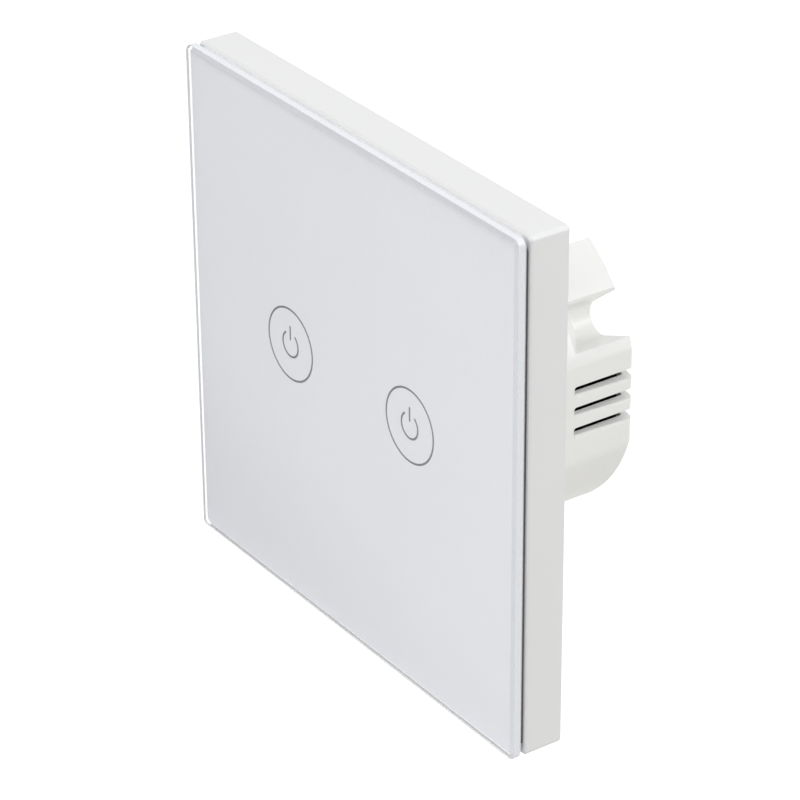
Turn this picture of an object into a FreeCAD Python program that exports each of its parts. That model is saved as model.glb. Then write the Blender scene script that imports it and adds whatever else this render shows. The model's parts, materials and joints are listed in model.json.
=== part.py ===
import FreeCAD, Part
import math
import os

# Smart light switch with two touch areas behind one glass front, for a wall box with 60 mm screws.
# Millimetres. X is to the right as seen from the room, Y goes into the wall, Z is up.
# The origin is the middle of the mounting plane, where the flange and the frame meet the wall.

Vector = FreeCAD.Vector

# Front panel: glass, printed film and frame
PANEL_SIZE = 86.0
GLASS_CORNER_R = 1.0
GLASS_T = 2.0
GLASS_CHAMFER = 0.35
FILM_T = 0.5
FILM_INSET = 0.6
FRAME_CORNER_R = 0.8
FRAME_DEPTH = 6.9
FRAME_WALL = 1.6
FRAME_FACE_T = 1.2
FRAME_FRONT_CHAMFER = 0.4
FRAME_BACK_CHAMFER = 0.3
FRAME_WINDOW = 62.0
FRAME_WINDOW_R = 3.0
PRY_NOTCH_W = 12.0
PRY_NOTCH_DEPTH = 1.0

# Clips of the frame, which pass through slots in the flange
CLIP_X = 22.0
CLIP_Z = 38.2
CLIP_W = 8.0
CLIP_T = 1.2
CLIP_BARB = 0.5
BARB_START = 1.4
BARB_PEAK = 0.9
CLIP_GAP = 0.5

# Touch areas
TOUCH_X = 16.0
TOUCH_Z = 1.0

# Flange of the rear housing, with the slots for the box screws
FLANGE_SIZE = 81.6
FLANGE_T = 1.8
FLANGE_CORNER_R = 2.0
FLANGE_RIB_SIZE = 72.8
FLANGE_RIB_T = 1.2
FLANGE_RIB_H = 2.2
FLANGE_RIB_CORNER_R = 2.4
BOX_SCREW_SPACING = 60.0
BOX_SLOT_R = 2.0
BOX_SLOT_LENGTH = 7.0

# Rear housing: a disc with two flats
HOUSING_R = 26.5
HOUSING_FLAT_X = 25.3
HOUSING_DEPTH = 26.3
HOUSING_WALL = 1.6
HOUSING_EDGE_R = 0.9
ROUNDING_STEPS = 4

# Screw wells, which open through the side of the housing and end towards the front in a ramp
WELL_ANGLE = 30.0
WELL_CENTRE_R = 20.1
WELL_R = 2.8
WELL_SPREAD = 8.0
WELL_OUTER_U = 32.0
WELL_HALF_SPAN = 8.0
RAMP_INNER_Y = 22.4
RAMP_MOUTH_Y = 15.4
WELL_STEPS = 5
LIP_CHAMFER = 0.4
INNER_EDGE_CHAMFER = 0.3
LIP_ZONE = 1.2
INNER_WALL = 1.3

# Terminal recess between the two horns at the top
RECESS_HALF_W = 13.9
RECESS_Z = 11.9
RECESS_FLOOR_Y = 5.5

# Vent slots, three on each flat, which run out through the rear edge
VENT_Z = (4.0, 0.5, -3.0)
VENT_H = 1.7
VENT_END_R = 0.5
VENT_SILL_FALL = 0.3
VENT_FRONT_Y = 15.0
VENT_INNER_X = 22.5

# Screw bosses of the housing and the screws that hold the board carrier
BOSS_XZ = 16.6
BOSS_R = 2.6
BOSS_END_Y = 8.0
BOSS_HOLE_R = 1.0
BOSS_HOLE_FLOOR = 0.6

# Ribs inside the box that the power board rests on
REST_RIB_T = 1.2
REST_RIB_DEPTH = 1.6
SIDE_RIB_Z = -9.0
LOWER_RIB_X = 8.0
LOWER_RIB_SAG = 1.3

# Boards
CARRIER_T = 1.4
CARRIER_POST_X = 10.0
CARRIER_POST_Z = 20.5
CARRIER_POST_W = 2.4
CARRIER_GAP = 0.3
TOUCH_BOARD_W = 46.0
TOUCH_BOARD_H = 60.0
TOUCH_BOARD_CORNER = 1.5
BOARD_T = 1.6
POWER_BOARD_Y = 2.5
POWER_BOARD_GAP = 0.5

# Touch chip with its legs, between two columns of small parts
CHIP_W = 4.0
CHIP_L = 5.0
CHIP_Z = -10.5
CHIP_LIFT = 0.1
CHIP_T = 1.4
CHIP_LEG_REACH = 3.1
CHIP_LEG_W = 0.45
CHIP_LEG_T = 0.4
CHIP_LEG_PITCH = 1.27
CHIP_LEG_ROWS = 4
SMALL_PART_X = 7.0
SMALL_PART_Z = -8.0
SMALL_PART_PITCH = 2.4
SMALL_PART_ROWS = 4
SMALL_PART_W = 1.6
SMALL_PART_L = 0.8
SMALL_PART_T = 0.6

# Radio module with its shield can and its printed antenna
MODULE_W = 16.0
MODULE_T = 0.8
MODULE_Z0 = 5.5
MODULE_Z1 = 28.5
SHIELD_W = 12.4
SHIELD_H = 2.0
SHIELD_T = 0.2
SHIELD_Z0 = 6.5
SHIELD_Z1 = 21.5
ANTENNA_BARS = 5
ANTENNA_PITCH = 3.0
ANTENNA_TRACK_W = 0.5
ANTENNA_TRACK_T = 0.1
ANTENNA_X0 = -6.0
ANTENNA_Z0 = 23.2
ANTENNA_Z1 = 27.2

# Board connector: a pin strip under the touch board, in a socket on the power board
HEADER_PINS = 6
HEADER_PITCH = 2.54
HEADER_Z = -12.0
HEADER_W = 15.2
HEADER_D = 2.5
HEADER_STRIP_T = 0.8
HEADER_PIN_W = 0.64
HEADER_HOLE_W = 0.8
HEADER_PIN_END_Y = 1.9
HEADER_HOLE_END_Y = 2.0
HEADER_WINDOW_GAP = 0.8

# Touch springs: helical wire from the touch board to the back of the glass film
SPRING_R = 2.4
SPRING_WIRE_R = 0.225
SPRING_TURNS = 3
WIRE_SIDES = 5
PANEL_CLEARANCE = 0.3

# Light guides: clear rings over small lamps
GUIDE_OUTER_R = 7.0
GUIDE_INNER_R = 5.3
GUIDE_FOOT_W = 1.2
LAMPS_PER_RING = 4
LAMP_CIRCLE_R = 6.15
LAMP_W = 1.0
LAMP_H = 0.7

# Terminal block with rising clamps
POLES = 4
POLE_PITCH = 6.35
BLOCK_W = 25.9
BLOCK_Z0 = 12.2
BLOCK_Z1 = 20.9
BLOCK_REAR_Y = 15.8
POCKET_HALF_W = 2.6
POCKET_WALL = 1.3
POCKET_FLOOR_T = 1.0
CLAMP_HALF_W = 2.3
CLAMP_REST_GAP = 0.2
CLAMP_SIDE_T = 0.6
CLAMP_BOTTOM_T = 0.8
CLAMP_TOP_T = 1.2
CLAMP_TRAVEL = 2.0
WIRE_GAP = 3.2
WIRE_HOLE_R = 1.6
CONTACT_T = 0.8
LEG_HALF_W = 0.6
LEG_T = 0.5
CLAMP_TOP_GAP = 0.5
SCREW_TIP_GAP = 0.2
TERMINAL_SHANK_R = 1.42
TERMINAL_THREAD_R = 1.5
TERMINAL_HEAD_R = 1.9
TERMINAL_HEAD_T = 1.5
TERMINAL_HOLE_R = 2.1
DRIVE_SLOT_W = 0.6
DRIVE_SLOT_DEPTH = 0.7
SCREW_SINK = 0.1
BLOCK_CHAMFER = 0.4
CONTACT_W = 3.0
CAGE_INSET = 0.8

# Relays: two alike, side by side
RELAY_X = 6.0
RELAY_Z1 = -0.6
RELAY_W = 10.2
RELAY_L = 18.4
RELAY_H = 15.3
RELAY_SHELL = 0.5
RELAY_BASE_T = 1.6
COIL_R = 3.4
CORE_R = 1.3
ARMATURE_SEAT_GAP = 0.05
ARMATURE_OPEN_DEG = 5.0
ARMATURE_T = 0.8
SPRING_ARM_T = 0.3
CONTACT_R = 0.9
YOKE_T = 0.9
YOKE_W = 6.0
YOKE_GAP = 0.5
WINDING_INSET = 0.3
BOBBIN_FLANGE_T = 0.6
COIL_LENGTH = 8.6
COIL_TO_END = 6.2
ARMATURE_W = 5.6
SPRING_ARM_W = 2.8
SPRING_ARM_OVERLAP = 0.5
CONTACT_TO_END = 2.6
CONTACT_POST_W = 2.4
CONTACT_POST_T = 0.5
CONTACT_POST_REACH = 1.2
COVER_LIFT = 0.4
COVER_CHAMFER = 0.3

# Power supply: transformer on the left, capacitor and varistor on the right, the rest between
SUPPLY_X = 17.3
CORE_HALF_W = 5.0
CORE_H = 9.6
CORE_Z0 = -4.8
CORE_Z1 = -1.2
CORE_WINDOW_X0 = 1.6
CORE_WINDOW_X1 = 3.4
CORE_WINDOW_Y0 = 1.6
CORE_WINDOW_Y1 = 8.0
BOBBIN_FOOT_T = 1.0
BOBBIN_Z0 = -8.0
BOBBIN_Z1 = 2.0
WINDING_REACH = 2.6
CAN_R = 4.0
CAN_Z = -7.0
CAN_H = 12.3
VARISTOR_R = 3.6
VARISTOR_T = 2.4
VARISTOR_GAP = 0.6
VARISTOR_Z = 3.6
VARISTOR_LIFT = 5.2
VARISTOR_LEG_Z = 2.0
LEAD_W = 0.5
FILM_CAPACITOR_X0 = 0.6
FILM_CAPACITOR_L = 10.0
FILM_CAPACITOR_H = 9.0
FILM_CAPACITOR_Z0 = 3.6
FILM_CAPACITOR_Z1 = 7.8
FUSE_X = -6.9
FUSE_Z = 7.4
FUSE_R = 1.5
FUSE_L = 7.0
FUSE_LIFT = 1.9
FUSE_LEAD_W = 0.6
FUSE_LEAD_REACH = 4.6
RECTIFIER_X = -7.0
RECTIFIER_Z = 2.6
RECTIFIER_W = 6.0
RECTIFIER_L = 4.0
RECTIFIER_LIFT = 0.2
RECTIFIER_T = 2.4
RECTIFIER_LEG_X = 2.0
RECTIFIER_LEG_W = 1.0
RECTIFIER_LEG_L = 5.6
RECTIFIER_LEG_T = 0.5

# Levels worked out from the sizes above
FRAME_FRONT_Y = -FRAME_DEPTH
FILM_FRONT_Y = FRAME_FRONT_Y - FILM_T
GLASS_FRONT_Y = FILM_FRONT_Y - GLASS_T
FLANGE_FRONT_Y = -FLANGE_T
TOUCH_BOARD_FRONT_Y = FLANGE_FRONT_Y - BOARD_T
SPRING_TOP_Y = FRAME_FRONT_Y + PANEL_CLEARANCE
CARRIER_BACK_Y = FLANGE_FRONT_Y + CARRIER_T
POWER_BOARD_BACK_Y = POWER_BOARD_Y + BOARD_T
MOUTH_R = HOUSING_R - HOUSING_WALL
MOUTH_FLAT_X = HOUSING_FLAT_X - HOUSING_WALL
OVERCUT = 1.0
SHAFT_GAP = 0.15
STUD_SIDES = 8


def box(x0, x1, y0, y1, z0, z1):
    return Part.makeBox(x1 - x0, y1 - y0, z1 - z0, Vector(x0, y0, z0))


def rod_x(y, z, radius, x0, x1):
    return Part.makeCylinder(radius, x1 - x0, Vector(x0, y, z), Vector(1, 0, 0))


def rod_y(x, z, radius, y0, y1):
    return Part.makeCylinder(radius, y1 - y0, Vector(x, y0, z), Vector(0, 1, 0))


def stud_y(x, z, radius, y0, y1):
    """A small eight-sided post along Y."""
    corners = []
    for step in range(STUD_SIDES):
        angle = 2 * math.pi * (step + 0.5) / STUD_SIDES
        corners.append(Vector(x + radius * math.cos(angle), y0, z + radius * math.sin(angle)))
    return prism(corners, Vector(0, y1 - y0, 0))


def rod_z(x, y, radius, z0, z1):
    return Part.makeCylinder(radius, z1 - z0, Vector(x, y, z0), Vector(0, 0, 1))


def runs_along_y(edge):
    start = edge.Vertexes[0].Point
    end = edge.Vertexes[-1].Point
    return abs(start.x - end.x) < 1e-6 and abs(start.z - end.z) < 1e-6


def runs_across(edge):
    """Edges that run mostly along X."""
    along = edge.Vertexes[-1].Point - edge.Vertexes[0].Point
    return abs(along.x) > 0.9 * along.Length


def lies_at_y(edge, y):
    points = [vertex.Point for vertex in edge.Vertexes] + [edge.CenterOfMass]
    return all(abs(point.y - y) < 1e-4 for point in points)


def rounded_plate(width, height, radius, y0, y1):
    """A plate square to Y, centred on it, with rounded corners."""
    plate = box(-width / 2, width / 2, y0, y1, -height / 2, height / 2)
    corners = [edge for edge in plate.Edges if runs_along_y(edge)]
    return plate.makeFillet(radius, corners)


def slot_along_x(x, z, length, radius, y0, y1):
    """A hole with round ends, `length` long from end to end."""
    reach = length / 2 - radius
    middle = box(x - reach, x + reach, y0, y1, z - radius, z + radius)
    ends = [rod_y(x + side * reach, z, radius, y0, y1) for side in (-1, 1)]
    return middle.fuse(ends).removeSplitter()


def flatted_disc(radius, half_width, y0, y1):
    disc = rod_y(0, 0, radius, y0, y1)
    return disc.common(box(-half_width, half_width, y0, y1, -radius, radius))


def prism(points, along):
    """A closed outline of straight lines, extruded by one vector."""
    outline = Part.makePolygon(points + points[:1])
    return Part.Face(outline).extrude(along)


def revolve_y(x, z, profile):
    """A closed outline of (radius, y) points, turned about the Y line through x and z."""
    points = [Vector(x + radius, y, z) for radius, y in profile]
    outline = Part.makePolygon(points + points[:1])
    return Part.Face(outline).revolve(Vector(x, 0, z), Vector(0, 1, 0), 360)


def glass_panel():
    pane = rounded_plate(PANEL_SIZE, PANEL_SIZE, GLASS_CORNER_R, GLASS_FRONT_Y, FILM_FRONT_Y)
    rims = [edge for edge in pane.Edges if lies_at_y(edge, GLASS_FRONT_Y) or lies_at_y(edge, FILM_FRONT_Y)]
    return pane.makeChamfer(GLASS_CHAMFER, rims)


def panel_film():
    size = PANEL_SIZE - 2 * FILM_INSET - 2 * GLASS_CHAMFER
    return rounded_plate(size, size, GLASS_CORNER_R, FILM_FRONT_Y, FRAME_FRONT_Y)


def frame_clip(side, x):
    """A tongue with a barb at its end, which snaps into the flange."""
    face_y = FRAME_FRONT_Y + FRAME_FACE_T
    end_y = -FRAME_BACK_CHAMFER
    inner = CLIP_Z - CLIP_T / 2
    outer = CLIP_Z + CLIP_T / 2
    points = [
        Vector(x - CLIP_W / 2, face_y, side * inner),
        Vector(x - CLIP_W / 2, face_y, side * outer),
        Vector(x - CLIP_W / 2, end_y - BARB_START, side * outer),
        Vector(x - CLIP_W / 2, end_y - BARB_PEAK, side * (outer + CLIP_BARB)),
        Vector(x - CLIP_W / 2, end_y, side * outer),
        Vector(x - CLIP_W / 2, end_y, side * inner),
    ]
    return prism(points, Vector(CLIP_W, 0, 0))


def front_frame():
    shell = rounded_plate(PANEL_SIZE, PANEL_SIZE, FRAME_CORNER_R, FRAME_FRONT_Y, 0)
    front_rims = [edge for edge in shell.Edges if lies_at_y(edge, FRAME_FRONT_Y)]
    shell = shell.makeChamfer(FRAME_FRONT_CHAMFER, front_rims)
    shell = shell.makeChamfer(FRAME_BACK_CHAMFER, [edge for edge in shell.Edges if lies_at_y(edge, 0)])
    inner_size = PANEL_SIZE - 2 * FRAME_WALL
    face_y = FRAME_FRONT_Y + FRAME_FACE_T
    cavity = rounded_plate(inner_size, inner_size, FRAME_CORNER_R, face_y, OVERCUT)
    before_y = FRAME_FRONT_Y - OVERCUT
    window = rounded_plate(FRAME_WINDOW, FRAME_WINDOW, FRAME_WINDOW_R, before_y, face_y + OVERCUT)
    notch_half = PRY_NOTCH_W / 2
    notch_z1 = OVERCUT - inner_size / 2
    pry_notch = box(-notch_half, notch_half, -PRY_NOTCH_DEPTH, OVERCUT, -PANEL_SIZE, notch_z1)
    shell = shell.cut([cavity, window, pry_notch])
    clips = [frame_clip(side, x) for side in (-1, 1) for x in (-CLIP_X, CLIP_X)]
    return shell.fuse(clips).removeSplitter()


def well_point(u, v, y, side):
    """u runs outward along the well's own line, v across it; side is 1 right or -1 left."""
    angle = math.radians(WELL_ANGLE)
    x = u * math.cos(angle) - v * math.sin(angle)
    z = u * math.sin(angle) + v * math.cos(angle)
    return Vector(side * x, y, z)


def well_outline(side, grow, rounded):
    """The well's outline across Y: an inner end in steps, or in arcs, between spreading walls."""
    radius = WELL_R + grow
    spread = math.radians(WELL_SPREAD)
    points = []
    for half_step in range(2 * WELL_STEPS + 1):
        angle = math.pi / 2 + spread + (math.pi - 2 * spread) * half_step / (2 * WELL_STEPS)
        u = WELL_CENTRE_R + radius * math.cos(angle)
        points.append(well_point(u, radius * math.sin(angle), 0, side))
    edges = []
    for step in range(WELL_STEPS):
        start, middle, end = points[2 * step:2 * step + 3]
        edges.append(Part.Arc(start, middle, end).toShape() if rounded else Part.makeLine(start, end))
    outer_v = radius / math.cos(spread) + (WELL_OUTER_U - WELL_CENTRE_R) * math.tan(spread)
    lower = well_point(WELL_OUTER_U, -outer_v, 0, side)
    upper = well_point(WELL_OUTER_U, outer_v, 0, side)
    edges.append(Part.makeLine(points[-1], lower))
    edges.append(Part.makeLine(lower, upper))
    edges.append(Part.makeLine(upper, points[0]))
    return Part.Face(Part.Wire(edges))


def ramp_body(side, grow):
    """The stock in front of the ramp, which rises from the well's inner end to its mouth."""
    inner_u = WELL_CENTRE_R - WELL_R
    slope = (RAMP_INNER_Y - RAMP_MOUTH_Y) / (HOUSING_R - inner_u)
    lift = grow * math.hypot(1, slope)
    near_u = inner_u - 2 * OVERCUT
    near_y = RAMP_INNER_Y - lift + (inner_u - near_u) * slope
    far_u = WELL_OUTER_U + OVERCUT
    far_y = RAMP_INNER_Y - lift - (far_u - inner_u) * slope
    profile = [(near_u, -OVERCUT), (far_u, -OVERCUT), (far_u, far_y), (near_u, near_y)]
    points = [well_point(u, -WELL_HALF_SPAN, y, side) for u, y in profile]
    return prism(points, well_point(0, 2 * WELL_HALF_SPAN, 0, side))


def screw_well(side, grow, rounded):
    """A channel that runs straight in from the rear, as far as its ramp."""
    outline = well_outline(side, grow, rounded)
    channel = outline.extrude(Vector(0, HOUSING_DEPTH + OVERCUT, 0))
    return channel.cut(ramp_body(side, grow))


def terminal_recess(grow):
    half = RECESS_HALF_W + grow
    deep = RECESS_FLOOR_Y - grow
    return box(-half, half, deep, HOUSING_DEPTH + OVERCUT, RECESS_Z - grow, HOUSING_R + OVERCUT)


def is_lip(edge):
    """Edges along Y at the mouths of the wells and at the horns' inner corners."""
    if not runs_along_y(edge):
        return False
    point = edge.CenterOfMass
    at_outline = math.hypot(point.x, point.z) > HOUSING_R - LIP_ZONE
    return at_outline and point.z > LIP_ZONE and point.y > HOUSING_DEPTH / 2


def is_inner_rear_edge(edge):
    """Edges of the rear face round the wells and the recess."""
    point = edge.CenterOfMass
    inside = math.hypot(point.x, point.z) < HOUSING_R - LIP_ZONE
    return lies_at_y(edge, HOUSING_DEPTH) and point.z > LIP_ZONE and inside


def rear_rounding(reach):
    """Half outline of the box from its middle to `reach`, with the rear corner rounded in steps."""
    points = [(0, 0), (reach, 0)]
    for step in range(ROUNDING_STEPS + 1):
        angle = math.pi / 2 * step / ROUNDING_STEPS
        inset = HOUSING_EDGE_R * (1 - math.cos(angle))
        rise = HOUSING_EDGE_R * math.sin(angle)
        points.append((reach - inset, HOUSING_DEPTH - HOUSING_EDGE_R + rise))
    points.append((0, HOUSING_DEPTH))
    return points


def housing_blank():
    """The disc with two flats, rounded all round its rear edge."""
    disc = revolve_y(0, 0, rear_rounding(HOUSING_R))
    right = [Vector(x, y, -HOUSING_R) for x, y in rear_rounding(HOUSING_FLAT_X)]
    left = [Vector(-point.x, point.y, point.z) for point in right]
    span = Vector(0, 0, 2 * HOUSING_R)
    flats = prism(right, span).fuse(prism(left, span))
    return disc.common(flats.removeSplitter())


def housing_outside():
    wells = [screw_well(side, 0, True) for side in (-1, 1)]
    body = housing_blank().cut([terminal_recess(0)] + wells).removeSplitter()
    body = body.makeChamfer(LIP_CHAMFER, [edge for edge in body.Edges if is_lip(edge)])
    return body.makeChamfer(INNER_EDGE_CHAMFER, [edge for edge in body.Edges if is_inner_rear_edge(edge)])


def housing_inside():
    room = flatted_disc(MOUTH_R, MOUTH_FLAT_X, FLANGE_FRONT_Y - OVERCUT, HOUSING_DEPTH - HOUSING_WALL)
    backings = [screw_well(side, INNER_WALL, False) for side in (-1, 1)]
    return room.cut([terminal_recess(INNER_WALL)] + backings)


def boss_places():
    return [(side_x * BOSS_XZ, side_z * BOSS_XZ) for side_z in (-1, 1) for side_x in (-1, 1)]


def board_ribs():
    """Ribs on the inner wall that the power board rests on."""
    front_y = POWER_BOARD_BACK_Y
    rear_y = HOUSING_DEPTH - HOUSING_WALL / 2
    wall_x = MOUTH_FLAT_X + HOUSING_WALL / 2
    half = REST_RIB_T / 2
    lower_z = REST_RIB_DEPTH + LOWER_RIB_SAG - MOUTH_R
    ribs = []
    for side in (-1, 1):
        inner_x, outer_x = sorted((side * (MOUTH_FLAT_X - REST_RIB_DEPTH), side * wall_x))
        ribs.append(box(inner_x, outer_x, front_y, rear_y, SIDE_RIB_Z - half, SIDE_RIB_Z + half))
        x = side * LOWER_RIB_X
        ribs.append(box(x - half, x + half, front_y, rear_y, -MOUTH_R, lower_z))
    return ribs


def vent_slot(side, z):
    """A slot with a sill that falls outwards, and with its front end rounded."""
    outer_x = HOUSING_FLAT_X + OVERCUT
    fall_per_x = VENT_SILL_FALL / HOUSING_WALL
    sill_z = z - VENT_H / 2
    high_z = z + VENT_H / 2
    points = [
        Vector(side * VENT_INNER_X, VENT_FRONT_Y, sill_z + (HOUSING_FLAT_X - VENT_INNER_X) * fall_per_x),
        Vector(side * outer_x, VENT_FRONT_Y, sill_z - OVERCUT * fall_per_x),
        Vector(side * outer_x, VENT_FRONT_Y, high_z),
        Vector(side * VENT_INNER_X, VENT_FRONT_Y, high_z),
    ]
    slot = prism(points, Vector(0, HOUSING_DEPTH + OVERCUT - VENT_FRONT_Y, 0))
    corners = [edge for edge in slot.Edges if lies_at_y(edge, VENT_FRONT_Y) and runs_across(edge)]
    return slot.makeFillet(VENT_END_R, corners)


def vent_slots():
    return [vent_slot(side, z) for side in (-1, 1) for z in VENT_Z]


def flange_plate():
    plate = rounded_plate(FLANGE_SIZE, FLANGE_SIZE, FLANGE_CORNER_R, FLANGE_FRONT_Y, 0)
    rib_front_y = FLANGE_FRONT_Y - FLANGE_RIB_H
    rib_inner = FLANGE_RIB_SIZE - 2 * FLANGE_RIB_T
    rib = rounded_plate(FLANGE_RIB_SIZE, FLANGE_RIB_SIZE, FLANGE_RIB_CORNER_R, rib_front_y, FLANGE_FRONT_Y)
    inner_r = FLANGE_RIB_CORNER_R - FLANGE_RIB_T
    room = rounded_plate(rib_inner, rib_inner, inner_r, rib_front_y - OVERCUT, FLANGE_FRONT_Y + OVERCUT)
    return plate.fuse(rib.cut(room))


def flange_openings():
    front_y = FLANGE_FRONT_Y - OVERCUT
    reach = BOX_SCREW_SPACING / 2
    cuts = [slot_along_x(x, 0, BOX_SLOT_LENGTH, BOX_SLOT_R, front_y, OVERCUT) for x in (-reach, reach)]
    half_w = CLIP_W / 2 + CLIP_GAP
    near = CLIP_Z - CLIP_T / 2 - CLIP_GAP
    far = CLIP_Z + CLIP_T / 2 + CLIP_BARB + CLIP_GAP
    for side in (-1, 1):
        low_z, high_z = sorted((side * near, side * far))
        for x in (-CLIP_X, CLIP_X):
            cuts.append(box(x - half_w, x + half_w, front_y, OVERCUT, low_z, high_z))
    return cuts


def block_window():
    """The hole in the floor of the recess that the terminal block stands through."""
    half = BLOCK_W / 2 + SHAFT_GAP
    front_y = RECESS_FLOOR_Y - INNER_WALL - OVERCUT
    return box(-half, half, front_y, RECESS_FLOOR_Y + OVERCUT, RECESS_Z, BLOCK_Z1 + SHAFT_GAP)


def rear_housing():
    """Flange and box in one moulding."""
    body = flange_plate().fuse(housing_outside())
    body = body.cut([housing_inside()])
    bosses = [rod_y(x, z, BOSS_R, CARRIER_BACK_Y, BOSS_END_Y) for x, z in boss_places()]
    body = body.fuse(bosses + board_ribs())
    hole_end_y = BOSS_END_Y - BOSS_HOLE_FLOOR
    holes = [rod_y(x, z, BOSS_HOLE_R, CARRIER_BACK_Y - OVERCUT, hole_end_y) for x, z in boss_places()]
    return body.cut(flange_openings() + vent_slots() + holes + [block_window()]).removeSplitter()


def board_carrier():
    """The plate in the housing's mouth that carries the touch board."""
    plate = flatted_disc(
        MOUTH_R - CARRIER_GAP, MOUTH_FLAT_X - CARRIER_GAP, FLANGE_FRONT_Y, CARRIER_BACK_Y
    )
    half_post = CARRIER_POST_W / 2
    posts = []
    for x in (-CARRIER_POST_X, CARRIER_POST_X):
        for z in (-CARRIER_POST_Z, CARRIER_POST_Z):
            low_x = x - half_post
            low_z = z - half_post
            posts.append(box(low_x, x + half_post, CARRIER_BACK_Y, POWER_BOARD_Y, low_z, z + half_post))
    half_w = HEADER_W / 2 + HEADER_WINDOW_GAP
    half_h = HEADER_D / 2 + HEADER_WINDOW_GAP
    front_y = FLANGE_FRONT_Y - OVERCUT
    header_window = box(-half_w, half_w, front_y, OVERCUT, HEADER_Z - half_h, HEADER_Z + half_h)
    holes = [rod_y(x, z, BOSS_HOLE_R, FLANGE_FRONT_Y - OVERCUT, OVERCUT) for x, z in boss_places()]
    return plate.fuse(posts).cut(holes + [header_window])


def touch_board():
    half_w = TOUCH_BOARD_W / 2
    half_h = TOUCH_BOARD_H / 2
    board = box(-half_w, half_w, TOUCH_BOARD_FRONT_Y, FLANGE_FRONT_Y, -half_h, half_h)
    board = board.makeChamfer(TOUCH_BOARD_CORNER, [edge for edge in board.Edges if runs_along_y(edge)])
    holes = [
        rod_y(x, z, BOSS_HOLE_R, TOUCH_BOARD_FRONT_Y - OVERCUT, OVERCUT) for x, z in boss_places()
    ]
    return board.cut(holes)


def touch_chip():
    front_y = TOUCH_BOARD_FRONT_Y
    low_y = front_y - CHIP_LIFT - CHIP_T
    low_z = CHIP_Z - CHIP_L / 2
    body = box(-CHIP_W / 2, CHIP_W / 2, low_y, front_y - CHIP_LIFT, low_z, low_z + CHIP_L)
    first_z = CHIP_Z - (CHIP_LEG_ROWS - 1) / 2 * CHIP_LEG_PITCH - CHIP_LEG_W / 2
    legs = []
    for row in range(CHIP_LEG_ROWS):
        z = first_z + row * CHIP_LEG_PITCH
        legs.append(box(-CHIP_LEG_REACH, CHIP_LEG_REACH, front_y - CHIP_LEG_T, front_y, z, z + CHIP_LEG_W))
    return body.fuse(legs)


def touch_board_parts():
    """Small chip resistors and capacitors on the touch board."""
    front_y = TOUCH_BOARD_FRONT_Y
    half_w = SMALL_PART_W / 2
    half_l = SMALL_PART_L / 2
    parts = []
    for x in (-SMALL_PART_X, SMALL_PART_X):
        for row in range(SMALL_PART_ROWS):
            z = SMALL_PART_Z - row * SMALL_PART_PITCH
            low_y = front_y - SMALL_PART_T
            parts.append(box(x - half_w, x + half_w, low_y, front_y, z - half_l, z + half_l))
    return Part.makeCompound(parts)


def radio_module():
    front_y = TOUCH_BOARD_FRONT_Y
    return box(-MODULE_W / 2, MODULE_W / 2, front_y - MODULE_T, front_y, MODULE_Z0, MODULE_Z1)


def radio_shield():
    """A thin can, open towards its module."""
    foot_y = TOUCH_BOARD_FRONT_Y - MODULE_T
    top_y = foot_y - SHIELD_H
    half = SHIELD_W / 2
    inner = half - SHIELD_T
    can = box(-half, half, top_y, foot_y, SHIELD_Z0, SHIELD_Z1)
    room = box(-inner, inner, top_y + SHIELD_T, foot_y + OVERCUT, SHIELD_Z0 + SHIELD_T, SHIELD_Z1 - SHIELD_T)
    return can.cut(room)


def radio_antenna():
    """The printed track at the module's free end, as one thin meander."""
    foot_y = TOUCH_BOARD_FRONT_Y - MODULE_T
    top_y = foot_y - ANTENNA_TRACK_T
    width = ANTENNA_TRACK_W
    bars = []
    for step in range(ANTENNA_BARS):
        x = ANTENNA_X0 + step * ANTENNA_PITCH
        bars.append(box(x, x + width, top_y, foot_y, ANTENNA_Z0, ANTENNA_Z1))
        if step < ANTENNA_BARS - 1:
            z = ANTENNA_Z1 - width if step % 2 == 0 else ANTENNA_Z0
            bars.append(box(x, x + ANTENNA_PITCH + width, top_y, foot_y, z, z + width))
    return bars[0].fuse(bars[1:]).removeSplitter()


def arc_middle(start, tangent, end):
    """The middle point of the arc that leaves start along tangent and reaches end."""
    chord = end - start
    side = tangent - chord * (tangent.dot(chord) / chord.dot(chord))
    side.normalize()
    swing = tangent.getAngle(chord)
    return start + chord * 0.5 + side * (chord.Length / 2 * math.tan(swing / 2))


def biarc(start, start_tangent, end, end_tangent):
    """Two arcs that meet smoothly between two points with given tangents."""
    span = end - start
    both = start_tangent + end_tangent
    open_part = 2 * (1 - start_tangent.dot(end_tangent))
    along = span.dot(both)
    reach = (-along + math.sqrt(along * along + open_part * span.dot(span))) / open_part
    join = (start + end + (start_tangent - end_tangent) * reach) * 0.5
    first = Part.Arc(start, arc_middle(start, start_tangent, join), join)
    second = Part.Arc(join, arc_middle(end, end_tangent * -1, join), end)
    return [first.toShape(), second.toShape()]


def helix_point(x, z, turn, y0, pitch):
    angle = 2 * math.pi * turn
    return Vector(x + SPRING_R * math.cos(angle), y0 - pitch * turn, z + SPRING_R * math.sin(angle))


def helix_tangent(turn, pitch):
    angle = 2 * math.pi * turn
    tangent = Vector(
        -2 * math.pi * SPRING_R * math.sin(angle), -pitch, 2 * math.pi * SPRING_R * math.cos(angle)
    )
    tangent.normalize()
    return tangent


def spring_pitch():
    height = TOUCH_BOARD_FRONT_Y - SPRING_TOP_Y - 2 * SPRING_WIRE_R
    return height / SPRING_TURNS


def print_spring_gap():
    """Least gap between the wire's own turns, measured on points of its centre line."""
    pitch = spring_pitch()
    steps = 36
    points = [helix_point(0, 0, i / steps, 0, pitch) for i in range(SPRING_TURNS * steps + 1)]
    least = min(
        (points[i] - points[j]).Length
        for i in range(len(points))
        for j in range(i + steps // 2, len(points))
    )
    print("touch spring: least gap between turns", round(least - 2 * SPRING_WIRE_R, 3), "mm")


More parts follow.
